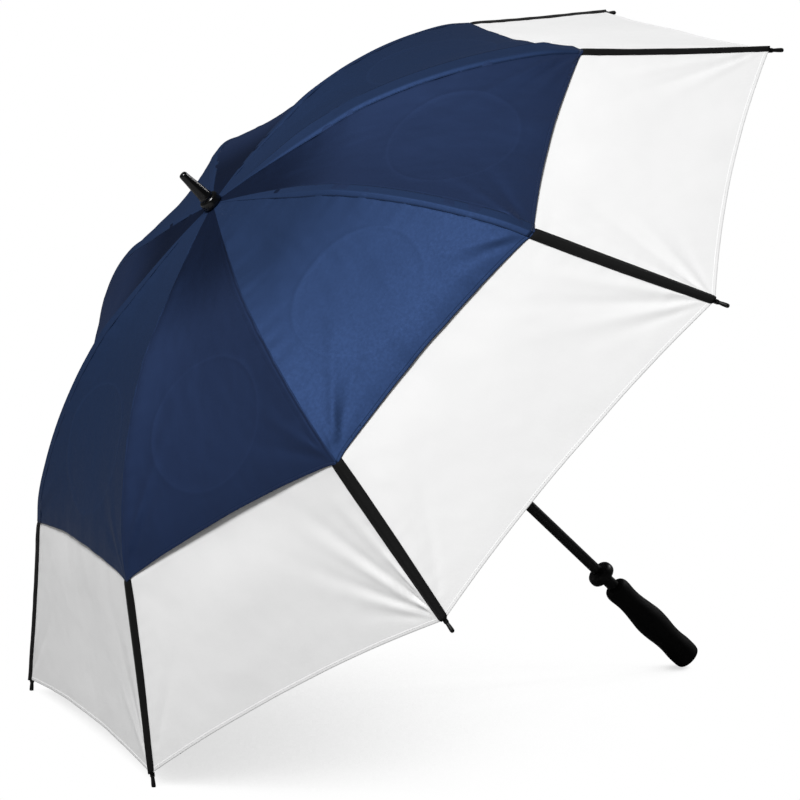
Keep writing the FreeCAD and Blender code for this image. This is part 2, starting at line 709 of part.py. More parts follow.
def gore(label, start, edge_rib, edge_mid, drop, spans, azimuth):
    """A thin closed sheet between two ribs, lofted through sections from rib to rib."""
    wires, caps = [], []
    for i in range(spans + 1):
        t = i / float(spans)
        radii = [start + t * ((edge_rib * u * u + edge_mid * (1 - u * u)) - start)
                 for u in ACROSS]
        top, low = [
            [fabric(u, r, drop(r) + depth) for u, r in zip(ACROSS, radii)]
            for depth in (0.0, SIZE["fabric_thick"])
        ]
        top_curve = Part.BSplineCurve()
        top_curve.interpolate(top)
        low_curve = Part.BSplineCurve()
        low_curve.interpolate(low)
        top_edge, low_edge = top_curve.toShape(), low_curve.toShape()
        wires.append(Part.Wire([top_edge, Part.makeLine(top[-1], low[-1]),
                                low_edge, Part.makeLine(low[0], top[0])]))
        if i in (0, spans):
            caps.append(Part.makeRuledSurface(top_edge, low_edge))
    skin = Part.makeLoft(wires, False, True)
    shell = Part.Shell(skin.Faces + [face for cap in caps for face in cap.Faces])
    shell.sewShape()
    shape = Part.Solid(shell.Shells[0])
    if shape.Volume < 0:
        shape.reverse()
    obj = doc.addObject("Part::Feature", "gore_" + label)
    obj.Shape = shape
    piece(obj, label, spun(azimuth))


for k in range(1, RIBS + 1):
    azimuth = (k - 1) * STEP + HALF_STEP
    gore("upper_panel_%d" % k, SIZE["upper_start"], SIZE["vent_edge_rib"],
         SIZE["vent_edge_mid"], upper_drop, 18, azimuth)
    gore("lower_panel_%d" % k, SIZE["lower_start"], SIZE["hem_rib"],
         SIZE["hem_mid"], lower_drop, 10, azimuth)

# ---------------------------------------------------------------- build, check and write
doc.recompute()
bad = [o.Name for o in doc.Objects if "Invalid" in o.State or "Error" in o.State]
if bad:
    raise RuntimeError("objects not built: %s" % bad)
for label, obj in PIECES.items():
    shape = obj.Shape
    if shape.isNull() or not shape.isValid() or shape.Volume <= 0:
        raise RuntimeError("bad shape: %s" % label)
os.makedirs("parts", exist_ok=True)
for label, obj in PIECES.items():
    obj.Shape.exportStep("parts/%s.step" % label)
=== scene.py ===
"""An open umbrella with a double canopy, eight ribs and a straight grip.

In its frame it stands upright: the shaft is the Z axis, the grip's bottom is at z = 0 and the
ferrule is at the top. Rib 1 points along +X and the others follow every 45 degrees towards +Y;
gore j lies between ribs j and j + 1. The floor is a tilted plane under ribs 4 and 5 and the grip,
so the umbrella is seen lying on its side. Lengths are in mm unless a comment says otherwise.
"""
import bpy, bmesh, math
from collections import namedtuple
import numpy as np
from mathutils import Matrix, Vector, noise

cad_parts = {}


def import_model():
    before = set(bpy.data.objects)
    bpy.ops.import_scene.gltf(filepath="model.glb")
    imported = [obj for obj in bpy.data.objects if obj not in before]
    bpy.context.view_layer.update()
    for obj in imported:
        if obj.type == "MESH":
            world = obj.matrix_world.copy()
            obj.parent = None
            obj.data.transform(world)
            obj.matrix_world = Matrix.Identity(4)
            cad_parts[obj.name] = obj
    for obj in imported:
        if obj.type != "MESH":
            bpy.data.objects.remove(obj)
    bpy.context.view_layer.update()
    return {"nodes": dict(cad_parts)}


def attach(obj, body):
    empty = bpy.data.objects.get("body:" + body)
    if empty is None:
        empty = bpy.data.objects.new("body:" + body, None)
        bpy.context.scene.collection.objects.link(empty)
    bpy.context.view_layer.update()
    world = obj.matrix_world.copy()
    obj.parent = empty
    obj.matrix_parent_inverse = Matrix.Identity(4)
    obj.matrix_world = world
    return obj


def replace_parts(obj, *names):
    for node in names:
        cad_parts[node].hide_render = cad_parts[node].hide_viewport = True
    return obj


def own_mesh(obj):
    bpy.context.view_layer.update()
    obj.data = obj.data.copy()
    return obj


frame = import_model()

MM = 0.001
GORES = range(1, 9)
STEP = math.radians(45.0)
HALF_STEP = STEP / 2
SIN_HALF, COS_HALF = math.sin(HALF_STEP), math.cos(HALF_STEP)

APEX = 930.6  # height of the canopy's apex
RIB_BEND_R = 329.85  # radius where the inner and outer parts of a rib meet
CLOTH_SPLIT_R = 332.0  # radius along the ribs where the cloth is cut in two
UPPER_INNER_R = 13.4
UPPER_CORNER_R = 468.8  # upper canopy's edge at a rib
UPPER_MIDDLE_R = 461.2  # and halfway between two ribs
LOWER_INNER_R = 437.0
LOWER_CORNER_R = 640.0
LOWER_MIDDLE_R = 630.2
VENT_S, VENT_R = 357.0, 89.0  # round vent: place of its centre along the gore, and radius
GORE_COLUMNS, GORE_ROWS = ((81, 112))


def rib_azimuth(rib):
    return (rib - 1) * STEP


def gore_azimuth(gore):
    return (gore - 1) * STEP + HALF_STEP


def after(index):
    return index % 8 + 1


def before(index):
    return (index - 2) % 8 + 1


# ------------------------------------------------------------------ node helpers
class Graph:
    """The emptied node tree of a material or world, with short ways to add nodes."""

    def __init__(self, owner, output="ShaderNodeOutputMaterial"):
        self.owner = owner
        owner.use_nodes = True
        self.tree = owner.node_tree
        self.tree.nodes.clear()
        self.output = self.node(output)

    def feed(self, socket, value):
        """Links a socket, or sets its value."""
        if isinstance(value, bpy.types.NodeSocket):
            self.tree.links.new(value, socket)
        else:
            socket.default_value = value

    def node(self, kind, inputs=None, **settings):
        """A new node; inputs maps socket names or indices to values or other sockets."""
        node = self.tree.nodes.new(kind)
        for key, value in settings.items():
            setattr(node, key, value)
        for key, value in (inputs or {}).items():
            self.feed(node.inputs[key], value)
        return node

    def math(self, operation, first, second=None, clamp=False):
        inputs = {0: first} if second is None else {0: first, 1: second}
        return self.node("ShaderNodeMath", inputs, operation=operation, use_clamp=clamp).outputs[0]

    def mul(self, first, second, clamp=False):
        return self.math("MULTIPLY", first, second, clamp)

    def mix(self, amount, first, second):
        """Mixes two colours."""
        return self.node("ShaderNodeMix", {0: amount, 6: first, 7: second},
                         data_type="RGBA").outputs[2]

    def mix_shaders(self, amount, first, second):
        return self.node("ShaderNodeMixShader", {0: amount, 1: first, 2: second}).outputs[0]

    def noise(self, vector, scale, detail=3.0, rough=0.55):
        return self.node("ShaderNodeTexNoise", {"Scale": scale, "Detail": detail,
                         "Roughness": rough, "Vector": vector}).outputs["Fac"]

    def smooth_range(self, value, start, end, low, high):
        """Eases from low to high as the value goes from start to end."""
        return self.node("ShaderNodeMapRange", {0: value, 1: start, 2: end, 3: low, 4: high},
                         interpolation_type="SMOOTHSTEP").outputs[0]

    def bump(self, height, strength, distance, normal=None):
        inputs = {"Strength": strength, "Distance": distance, "Height": height}
        if normal is not None:
            inputs["Normal"] = normal
        return self.node("ShaderNodeBump", inputs).outputs[0]

    def split(self, vector):
        return self.node("ShaderNodeSeparateXYZ", {0: vector}).outputs

    def uv(self, name):
        return self.node("ShaderNodeUVMap", uv_map=name).outputs[0]

    def object_place(self):
        return self.node("ShaderNodeTexCoord").outputs["Object"]

    def soft_line(self, offset, half_width):
        """1 where the unsigned offset is 0, falling to 0 at half_width."""
        return self.math("SUBTRACT", 1.0, self.mul(offset, 1.0 / half_width), clamp=True)

    def done(self, shader):
        self.feed(self.output.inputs[0], shader)
        return self.owner


def srgb(*channels):
    def linear(c):
        return (c / 255 / 12.92) if c <= 10 else ((c / 255 + 0.055) / 1.055) ** 2.4
    return tuple(linear(c) for c in channels) + (1.0,)


def grey(level):
    return srgb(level, level, level)


def tone(color, factor, add=0.0):
    """The colour made lighter or darker."""
    return tuple(min(1.0, c * factor + add) for c in color[:3]) + (1.0,)


# ------------------------------------------------------------------ cloth materials
# Painted light: a lighter ring over the vent's binding and a lighter disc inside the vent, for the
# light that shows through the upper canopy there; lengths in metres.
RING = dict(along=VENT_S * MM, radius=VENT_R * MM, half_width=0.0032, strength=0.16, inside=0.05)
# Painted shade: the odd gores darken towards the apex between these lengths along the gore, in
# metres, standing in for the sheen that the even gores catch there.
TOP_SHADE = dict(start=0.085, end=0.235, low=0.86, high=0.0)
TOP_SHADE_COLOR = (0.0008, 0.0008, 0.0022, 1.0)


# Paints the lighter ring and disc where light shows through the upper canopy over the vent.
def ring_color(g, color, uv, base):
    x, y, _ = g.split(uv)
    dy = g.math("SUBTRACT", y, RING["along"])
    radius = g.math("SQRT", g.math("ADD", g.mul(x, x), g.mul(dy, dy)))
    offset = g.math("ABSOLUTE", g.math("SUBTRACT", radius, RING["radius"]))
    line = g.soft_line(offset, RING["half_width"])
    inside = g.math("LESS_THAN", radius, RING["radius"])
    color = g.mix(g.mul(line, RING["strength"]), color, tone(base, 1.9))
    return g.mix(g.mul(inside, RING["inside"]), color, tone(base, 1.6))


def stitch_and_shade_lines(g, color, base, place, half_width, strength):
    """Two dark lines, a place away from the middle of a band that is 1 wide: stitching on the
    sleeves, painted shade on the seam bands and the hems' lips.
    """
    position = g.split(g.uv("across"))[0]
    from_middle = g.math("ABSOLUTE", g.math("SUBTRACT", position, 0.5))
    offset = g.math("ABSOLUTE", g.math("SUBTRACT", from_middle, place))
    return g.mix(g.mul(g.soft_line(offset, half_width), strength), color, tone(base, 0.25))


def cloth(name, base, tint, *, rough, spec, crease, sheen=0.0, through=0.0, weave=700.0,
          bump=0.10, fleck=0.08, seam=None, lobe=None, ring=False, shade_top=False):
    """Plain-woven cloth. weave is threads per metre, crease and bump the strength of the
    wrinkles and the weave, fleck that of the pale specks, through the light let through,
    lobe the highlight's colour."""
    g = Graph(bpy.data.materials.new(name))
    uv = g.uv("cloth")
    place = g.object_place()
    fine = g.noise(place, scale=260.0, detail=2.0, rough=0.5)
    color = g.mix(g.noise(place, scale=9.0, detail=4.0, rough=0.6), base, tint)
    color = g.mix(g.mul(fine, fleck), color, tone(base, 1.5, add=0.01))

    # over-under threads in both directions
    x, y, _ = g.split(uv)
    waves = [g.math("SINE", g.mul(g.mul(c, weave), math.pi * 2)) for c in (x, y)]
    height = g.mul(*waves)
    threads = g.mul(g.math("ADD", height, 1.0), 0.5)
    color = g.mix(g.mul(threads, 0.10), color, tone(base, 0.72))
    # dark lines along a band: stitching on the sleeves, painted shade on the seam bands and hem
    # lips
    if seam:
        color = stitch_and_shade_lines(g, color, base, **seam)
    if ring:
        color = ring_color(g, color, uv, base)
    # painted shade: darkens the cloth towards the apex
    if shade_top:
        amount = g.smooth_range(g.split(uv)[1], **TOP_SHADE)
        color = g.mix(amount, color, TOP_SHADE_COLOR)

    wrinkles = g.noise(place, scale=34.0, detail=5.0, rough=0.62)
    normal = g.bump(wrinkles, strength=crease, distance=0.0022)
    normal = g.bump(height, strength=bump, distance=0.0004, normal=normal)
    surface_node = g.node("ShaderNodeBsdfPrincipled", {
        "Base Color": color, "Roughness": g.math("ADD", rough - 0.06, g.mul(fine, 0.14)),
        "IOR": 1.5, "Specular IOR Level": spec, "Sheen Weight": sheen,
        "Sheen Roughness": 0.45, "Normal": normal})
    if lobe:
        g.feed(surface_node.inputs["Specular Tint"], lobe)
    shader = surface_node.outputs[0]
    if through > 0:
        glow = g.node("ShaderNodeBsdfTranslucent", {"Color": color, "Normal": normal})
        shader = g.mix_shaders(through, shader, glow.outputs[0])
    return g.done(shader)


def thread(name, base, tint):
    return cloth(name, base, tint, rough=0.7, spec=0.32, crease=0.0, sheen=0.1, weave=2000.0)


def hard(name, base, *, rough, spec, scale, bump, coat=0.0, metal=0.0, streaked=False,
         wear=None, pebble=None):
    """Plastic, rubber or metal. scale is that of the grain, streaked draws it out along Z,
    wear pales the sharp edges, pebble is the scale of a leathery relief."""
    g = Graph(bpy.data.materials.new(name))
    place = g.object_place()
    if wear or not streaked:
        grain = g.noise(place, scale=scale, detail=4.0, rough=0.6)
    broad = g.noise(place, scale=scale * 0.08, detail=3.0, rough=0.6)
    color = g.mix(broad, base, tone(base, 1.6, add=0.002))
    if wear:
        pointiness = g.node("ShaderNodeNewGeometry").outputs["Pointiness"]
        edge = g.mul(g.math("SUBTRACT", pointiness, 0.515), 14.0, clamp=True)
        worn = g.mul(edge, g.mul(grain, wear["amount"]), clamp=True)
        color = g.mix(worn, color, (wear["level"],) * 3 + (1.0,))
    if streaked:
        drawn = g.node("ShaderNodeMapping", {"Scale": (1.0, 1.0, 0.02), "Vector": place})
        height = g.noise(drawn.outputs[0], scale=scale * 6, detail=2.0, rough=0.5)
    else:
        height = grain
    normal = g.bump(height, strength=bump, distance=0.0004)
    if pebble:
        cells = g.node("ShaderNodeTexVoronoi", {"Scale": pebble, "Vector": place},
                       feature="SMOOTH_F1")
        normal = g.bump(cells.outputs["Distance"], strength=0.22, distance=0.0005, normal=normal)
    uneven = g.mul(g.math("SUBTRACT", broad, 0.5), 0.16)
    return g.done(g.node("ShaderNodeBsdfPrincipled", {
        "Base Color": color, "Roughness": g.math("ADD", rough, uneven), "Metallic": metal,
        "Specular IOR Level": spec, "Coat Weight": coat, "Coat Roughness": 0.08,
        "Normal": normal}).outputs[0])


def netting(name):
    """Black netting: a grid of holes cut out by transparency."""
    g = Graph(bpy.data.materials.new(name))
    x, y, _ = g.split(g.uv("cloth"))
    holes_per_m = 420.0
    waves = [g.math("ABSOLUTE", g.math("SINE", g.mul(g.mul(c, holes_per_m), math.pi)))
             for c in (x, y)]
    hole = g.math("GREATER_THAN", g.mul(*waves), 0.42)
    color = g.mix(g.noise(g.object_place(), scale=500.0), srgb(14, 14, 15), srgb(24, 24, 26))
    yarn = g.node("ShaderNodeBsdfPrincipled", {"Base Color": color, "Roughness": 0.7})
    clear = g.node("ShaderNodeBsdfTransparent")
    return g.done(g.mix_shaders(hole, yarn.outputs[0], clear.outputs[0]))


# Base and tint of the navy cloth. Odd and even gores differ a little.
NAVY_EVEN = (0.0103, 0.0205, 0.0510, 1.0), (0.0094, 0.0188, 0.0473, 1.0)
NAVY_ODD = (0.0114, 0.0196, 0.0500, 1.0), (0.0104, 0.0180, 0.0462, 1.0)
LOBE = (0.12, 0.26, 0.72, 1.0)
# Painted shade: a dark line along the folded lip of the upper hems, as if in shadow.
LIP_SHADE = dict(place=0.0, half_width=0.10, strength=0.6)

navy_even = cloth("navy_pongee_a", *NAVY_EVEN, rough=0.57, spec=1.0, crease=0.16,
                  through=0.02, lobe=LOBE, ring=True)
navy_odd = cloth("navy_pongee_b", *NAVY_ODD, rough=0.60, spec=0.80, crease=0.16,
                 through=0.02, lobe=LOBE, ring=True, shade_top=True)
# Painted shade: two dark lines along each seam band's edges, where its creases lie; the stitches
# beside them are real thread.
navy_band = cloth("navy_seam_band", *NAVY_EVEN, rough=0.60, spec=0.95, crease=0.08, lobe=LOBE,
                  seam=dict(place=0.462, half_width=0.042, strength=0.85))
navy_edge_even = cloth("navy_folded_edge_a", *NAVY_EVEN, rough=0.57, spec=0.95, crease=0.06,
                       lobe=LOBE, seam=LIP_SHADE)
navy_edge_odd = cloth("navy_folded_edge_b", *NAVY_ODD, rough=0.60, spec=0.76, crease=0.06,
                      lobe=LOBE, seam=LIP_SHADE)
white_cloth = cloth("white_pongee", grey(245), grey(243), rough=0.62, spec=0.2, crease=0.14,
                    sheen=0.05, through=0.10, bump=0.06, fleck=0.02)
white_hem = cloth("white_hem", grey(243), grey(240), rough=0.6, spec=0.2, crease=0.06,
                  sheen=0.05, through=0.05, weave=520.0, bump=0.12, fleck=0.02)
black_cloth = cloth("black_rib_sleeve", grey(10), grey(7), rough=0.80, spec=0.16, crease=0.16,
                    sheen=0.04, weave=420.0, bump=0.3, fleck=0.10,
                    seam=dict(place=0.42, half_width=0.04, strength=0.6))
navy_inner = cloth("navy_inner_canopy", *NAVY_ODD, rough=0.58, spec=0.8, crease=0.2,
                   through=0.05, lobe=LOBE)
navy_thread = thread("navy_thread", srgb(26, 38, 64), srgb(21, 31, 54))
white_thread = thread("white_thread", grey(222), grey(214))
black_thread = thread("black_thread", srgb(20, 20, 21), srgb(15, 15, 16))
gloss = hard("polished_black_plastic", grey(3), rough=0.21, spec=0.50, coat=0.3, scale=160,
             bump=0.02, wear=dict(level=0.05, amount=0.4))
plastic = hard("moulded_black_plastic", grey(7), rough=0.42, spec=0.25, scale=420, bump=0.10,
               wear=dict(level=0.03, amount=0.5))
rubber = hard("soft_touch_rubber", grey(6), rough=0.66, spec=0.18, scale=700, bump=0.15,
              pebble=900)
satin = hard("satin_black_shaft", grey(7), rough=0.40, spec=0.28, scale=90, bump=0.04,
             streaked=True, wear=dict(level=0.06, amount=0.3))
fibreglass = hard("black_fibreglass", srgb(12, 12, 13), rough=0.42, spec=0.32, scale=120,
                  bump=0.10, streaked=True)
steel = hard("plated_steel", (0.55, 0.55, 0.56, 1.0), rough=0.28, spec=0.5, metal=1.0,
             scale=300, bump=0.05)
net = netting("black_vent_net")

# ------------------------------------------------------------------ the canopy's surface
# The canopy's line over a rib: (radius, height above the apex).
RIDGE = [
    (13.0, 0.0), (65.0, -5.2), (105.3, -10.4), (164.45, -19.5), (217.75, -29.25),
    (260.0, -42.9), (294.45, -56.55), (348.4, -82.55), (398.45, -112.45), (443.95, -144.95),
    (468.8, -168.7), (552.5, -248.95), (640.25, -330.85), (650.0, -339.95)]
RIDGE_R, RIDGE_Z = np.array(RIDGE).T
CHORD_SLOPE = np.diff(RIDGE_Z) / np.diff(RIDGE_R)
POINT_SLOPE = np.concatenate([
    [CHORD_SLOPE[0]], 0.5 * (CHORD_SLOPE[:-1] + CHORD_SLOPE[1:]), [CHORD_SLOPE[-1]]])


def ridge(radius):
    """Height over a rib, from cubic pieces through the ridge's points."""
    radius = np.asarray(radius, float)
    i = np.clip(np.searchsorted(RIDGE_R, radius) - 1, 0, len(RIDGE_R) - 2)
    width = RIDGE_R[i + 1] - RIDGE_R[i]
    t = (radius - RIDGE_R[i]) / width
    return ((2 * t**3 - 3 * t**2 + 1) * RIDGE_Z[i]
            + (t**3 - 2 * t**2 + t) * width * POINT_SLOPE[i]
            + (-2 * t**3 + 3 * t**2) * RIDGE_Z[i + 1]
            + (t**3 - t**2) * width * POINT_SLOPE[i + 1])


ARC_RADII = np.linspace(13.0, 652.0, 900)
ARC_LENGTHS = np.concatenate([
    [0], np.cumsum(np.hypot(np.diff(ARC_RADII), np.diff(ridge(ARC_RADII))))])


def arc_len(radius):
    """Length along a rib from the apex."""
    return np.interp(radius, ARC_RADII, ARC_LENGTHS)


def at_arc(length):
    """The radius at a length along the rib."""
    return np.interp(length, ARC_LENGTHS, ARC_RADII)


def smoothstep(x, start, end):
    t = np.clip((x - start) / (end - start), 0, 1)
    return t * t * (3 - 2 * t)


def bell(x, width):
    return np.exp(-((x / width) ** 2))


def smooth_noise(x, y, z):
    """Noise at arrays of points, about -0.5 to 0.5."""
    x, y = np.broadcast_arrays(np.asarray(x, float), np.asarray(y, float))
    values = [noise.noise(Vector((a, b, z))) for a, b in zip(x.ravel(), y.ravel())]
    return np.array(values, float).reshape(x.shape)


def sag(radius):
    """How far the middle of a gore lies inside its ribs."""
    return 8.0 * smoothstep(radius, 40.0, 240.0) * (1 - 0.8 * smoothstep(radius, 330.0, 510.0))


def surface(gore, across, radius, lift):
    """Points of a gore, in metres: across runs from its first rib (-1) to its second (+1),
    radius is measured along the ribs, and lift is outwards."""
    across, radius = np.asarray(across, float), np.asarray(radius, float)
    slope = ridge(radius + 0.5) - ridge(radius - 0.5)
    length = np.hypot(1.0, slope)
    inwards_r, inwards_z = slope / length, -1.0 / length
    depth = sag(radius) * (1 - across * across) - lift
    x = radius * COS_HALF + inwards_r * depth
    y = radius * SIN_HALF * across
    z = APEX + ridge(radius) + inwards_z * depth
    cos_a, sin_a = math.cos(gore_azimuth(gore)), math.sin(gore_azimuth(gore))
    return np.stack([x * cos_a - y * sin_a, x * sin_a + y * cos_a, z], -1) * MM


# The cloth beside each rib: how far before the rib its strip starts to rise, how far past the
# rib it rises, how steeply, where the sewn band begins and ends, and the creases' depths there.
Seam = namedtuple("Seam", "before past slope band_start band_end start_depth end_depth")
SEAMS = {rib: Seam(6.0, 15.0, 0.10, -6.0, 15.0, 0.45, 0.30) for rib in GORES}
SEAMS[5] = Seam(1.5, 9.5, 0.09, -8.0, 1.5, 0.05, 0.40)
SEAMS[6] = Seam(4.5, 12.0, 0.0, -13.5, -4.5, 0.10, 0.50)
SEAMS[7] = Seam(7.5, 15.0, 0.08, -7.5, 15.0, 0.50, 0.38)
SEAMS[8] = Seam(6.5, 26.0, 0.30, -6.5, 26.0, 0.50, 0.10)
CREASE_WIDTH = 1.5
FULL_HALF_WIDTH = 62.0  # seams have their full width where half a gore is at least this wide


def fit(radius):
    """Towards the top the gores are narrow and everything beside a rib narrows with them."""
    return np.clip(np.asarray(radius, float) * SIN_HALF / FULL_HALF_WIDTH, 0.0, 1.0)


def seam_rise(rib, offset, radius):
    """Height of the cloth at a signed distance past a rib."""
    seam = SEAMS[rib]
    narrow = fit(radius)
    at = offset / np.maximum(narrow, 1e-6)
    grow = (smoothstep(radius, 25.0, 150.0)
            * (1 - 0.6 * smoothstep(radius, 430.0, UPPER_CORNER_R + 0.2)))
    fall = (seam.slope * (seam.past + seam.before)
            * np.exp(-np.clip(at - seam.past, 0, None) / 24.0))
    rise = np.where(at <= seam.past, seam.slope * (at + seam.before), fall)
    rise = np.where(at < -seam.before, 0.0, rise)
    rise = rise - seam.start_depth * bell(at - seam.band_start, CREASE_WIDTH)
    rise = rise - seam.end_depth * bell(at - seam.band_end, CREASE_WIDTH)
    fade = 1 - smoothstep(offset, 1.0 * radius * SIN_HALF, 1.9 * radius * SIN_HALF)
    return rise * grow * narrow * fade


def seam_lift(gore, across, radius):
    across, radius = np.broadcast_arrays(np.asarray(across, float), np.asarray(radius, float))
    half = radius * SIN_HALF
    return (seam_rise(gore, (1 + across) * half, radius)
            + seam_rise(after(gore), -(1 - across) * half, radius))


def seam_at(rib, offset, radius):
    """seam_lift beside a rib: offset > 0 on the gore after it, < 0 on the one before."""
    offset, radius = np.broadcast_arrays(np.asarray(offset, float), np.asarray(radius, float))
    share = np.abs(offset) / (radius * SIN_HALF)
    return np.where(offset >= 0, seam_lift(rib, -1 + share, radius),
                    seam_lift(before(rib), 1 - share, radius))


CREASE_SPREAD = [-4.6, -2.8, -1.6, -0.8, 0.0, 0.8, 1.6, 2.8, 4.6]


def gore_columns(gore, radius, inner):
    """Across positions (-1 to 1) of one row of a gore, close together over the creases."""
    def beside(rib, sign):
        seam = SEAMS[rib]
        creases = [seam.band_start * sign, seam.band_end * sign]
        far = max(max(creases), 6.0) + 4.6
        places = {0.0, 1.2, far + 4.0, far + 9.0, far + 15.0}
        places |= {far * q for q in (0.2, 0.35, 0.5, 0.65, 0.8)}
        for crease in creases:
            places |= {crease + q for q in CREASE_SPREAD if crease + q > 0.3}
        places = sorted(places)
        kept = [places[0]]
        for x in places[1:]:
            if x - kept[-1] > 0.55:
                kept.append(x)
        return np.array(kept) * float(fit(radius)) / (radius * SIN_HALF)

    first, second = beside(gore, 1.0), beside(after(gore), -1.0)
    middle = np.linspace(-1 + first[-1], 1 - second[-1], inner)[1:-1]
    return np.concatenate([-1 + first, middle, (1 - second)[::-1]])


# Folds that fan out from a gore's corner. Key: (gore, side of the gore, -1 or +1).
# Each fold: (angle from the rib in degrees, its width in degrees, height, reach).
UPPER_FANS = {
    (8, -1): [(38, 6, 1.6, 130), (55, 8, -1.2, 120)],
    (8, 1): [(24, 5, -1.2, 140), (40, 6, 1.6, 120)],
    (7, -1): [(28, 5, 1.6, 120), (45, 6, -1.4, 130)],
    (7, 1): [(30, 5, 1.8, 150), (46, 5, -2.0, 150), (62, 7, 1.6, 110)],
    (6, -1): [(34, 5, 2.2, 140), (50, 6, -1.8, 120), (20, 4, -1.0, 90)],
    (6, 1): [(36, 6, 1.5, 120), (54, 6, -1.3, 120)],
    (5, -1): [(22, 4, 2.4, 150), (36, 5, -1.6, 120)],
    (5, 1): [(30, 6, 1.4, 120), (50, 7, -1.5, 110)],
}
UPPER_FAN = [(30, 6, 1.5, 125), (48, 7, -1.4, 120)]
LOWER_FANS = {
    (7, 1): [(14, 3.5, 1.8, 170), (27, 3.5, -1.6, 150), (41, 4.5, 1.3, 120)],
    (7, -1): [(12, 3.5, 1.6, 150), (25, 4, -1.6, 160), (38, 4, 1.5, 130), (52, 5, -1.0, 90)],
    (6, 1): [(12, 3.2, 2.0, 150), (23, 3.6, -1.8, 150), (36, 4.5, 1.8, 130),
             (50, 5, -1.2, 100)],
    (6, -1): [(13, 3.5, 1.5, 140), (28, 4, -1.4, 120)],
    (5, 1): [(12, 2.6, 2.6, 170), (20, 2.8, -2.6, 170), (29, 3.2, 2.8, 150),
             (39, 3.6, -2.4, 130), (50, 4.2, 1.8, 110), (62, 5, -1.2, 90)],
    (5, -1): [(14, 4, 1.6, 130), (30, 5, -1.4, 120)],
    (4, 1): [(13, 4, 1.7, 140), (27, 4, -1.6, 130), (42, 5, 1.2, 100)],
    (4, -1): [(13, 4, 1.7, 140), (30, 5, -1.4, 110)],
}
LOWER_FAN = [(13, 3.6, 1.7, 150), (26, 4, -1.6, 140), (40, 5, 1.3, 110)]
LOWER_TOP_FAN = [(24, 5, 1.2, 90), (42, 6, -1.2, 90)]
# Rows of short slanting pleats beside a corner: (height, spacing, length of seam, reach).
PLEATS = {
    (7, 1): (0.85, 12.5, 120.0, 55.0), (6, -1): (0.55, 10.5, 80.0, 40.0),
    (8, 1): (0.6, 13.0, 90.0, 45.0), (5, -1): (0.4, 12.0, 80.0, 40.0),
    (1, 1): (0.7, 12.0, 100.0, 50.0), (3, 1): (0.7, 13.0, 110.0, 50.0),
    (2, -1): (0.5, 11.0, 80.0, 40.0)}


def fans(gore, across, radius, corner_r, table, default, sign=1.0):
    """Height of the folds fanning from both corners; sign -1 fans them outwards."""
    height = np.zeros_like(radius)
    along = (arc_len(corner_r) - arc_len(radius)) * sign
    for side in (-1, 1):
        from_rib = (1 - side * across) * (radius * SIN_HALF)
        distance = np.hypot(from_rib, along) + 1e-6
        bearing = np.degrees(np.arctan2(from_rib, along))
        for angle, width, fold, reach in table.get((gore, side), default):
            angle = angle + 2.5 * math.sin(gore * 3.7 + angle)
            height += (fold * bell(bearing - angle, width) * smoothstep(distance, 6, 40)
                       * bell(distance, reach))
    return height


def pleats(gore, across, radius):
    height = np.zeros(np.broadcast(across, radius).shape)
    along = arc_len(UPPER_CORNER_R) - arc_len(radius)
    for side in (-1, 1):
        if (gore, side) not in PLEATS:
            continue
        fold, spacing, length, reach = PLEATS[(gore, side)]
        from_rib = (1 - side * across) * radius * SIN_HALF
        phase = (along - from_rib * 1.25) / spacing
        wave = np.sin(2 * np.pi * phase + 1.1 * np.sin(phase * 1.7 + gore))
        height = height + (fold * wave * bell(from_rib, reach) * smoothstep(from_rib, 8, 22)
                           * smoothstep(along, 2, 16)
                           * (1 - smoothstep(along - from_rib, length * 0.5, length)))
    return height


# Each noise below has its own scales and seed; the factor after it is its height.
def wrinkle_upper(gore, across, radius):
    half, along = radius * SIN_HALF, arc_len(radius)
    from_rib = (1 - np.abs(across)) * half
    middle = 1 - across * across
    side = np.where(across > 0, 1.0, -1.0)
    folds = (fans(gore, across, radius, UPPER_CORNER_R, UPPER_FANS, UPPER_FAN)
             + pleats(gore, across, radius))
    pucker = smooth_noise(along / 17.0, side * 3.1, gore * 5.3) * 1.3 * np.exp(-from_rib / 22.0)
    broad = (smooth_noise(across * 1.6, along / 120.0, gore * 9.1 + 4) * 2.6 * middle
             * smoothstep(radius, 60, 200))
    flutter = (smooth_noise(across * 4.2, 0.3, gore * 2.7) * 2.2
               * smoothstep(radius, 380, 461) * middle)
    fine = smooth_noise(across * half / 14.0, along / 30.0, gore * 1.9) * 0.35
    return ((folds + pucker + broad + flutter + fine) * smoothstep(radius, 14, 80)
            * np.clip(from_rib / 3.0, 0, 1))


def wrinkle_lower(gore, across, radius):
    half, along = radius * SIN_HALF, arc_len(radius)
    from_rib = (1 - np.abs(across)) * half
    middle = 1 - across * across
    side = np.where(across > 0, 1.0, -1.0)
    folds = fans(gore, across, radius, LOWER_CORNER_R, LOWER_FANS, LOWER_FAN)
    folds = folds + 0.5 * fans(gore, across, radius, 462.0, {}, LOWER_TOP_FAN, sign=-1.0)
    pucker = smooth_noise(along / 12.0, side * 2.1, gore * 4.3) * 1.1 * np.exp(-from_rib / 16.0)
    broad = smooth_noise(across * 1.5, along / 130.0, gore * 6.7 + 2) * 2.4 * middle
    fine = smooth_noise(across * half / 16.0, along / 26.0, gore * 2.3) * 0.3
    wave = (smooth_noise(across * 3.4, 0.8, gore * 1.3) * 2.0
            * smoothstep(radius, 590, 632) * middle)
    return (folds + pucker + broad + fine + wave) * smoothstep(from_rib, 3.0, 14.0)


def edge_upper(across):
    """Radius of the upper canopy's outer edge, with a small point at each rib."""
    from_rib = (1 - np.abs(across)) * 179.0
    return (UPPER_CORNER_R * across * across + UPPER_MIDDLE_R * (1 - across * across)
            + 1.8 * bell(from_rib, 9.0))


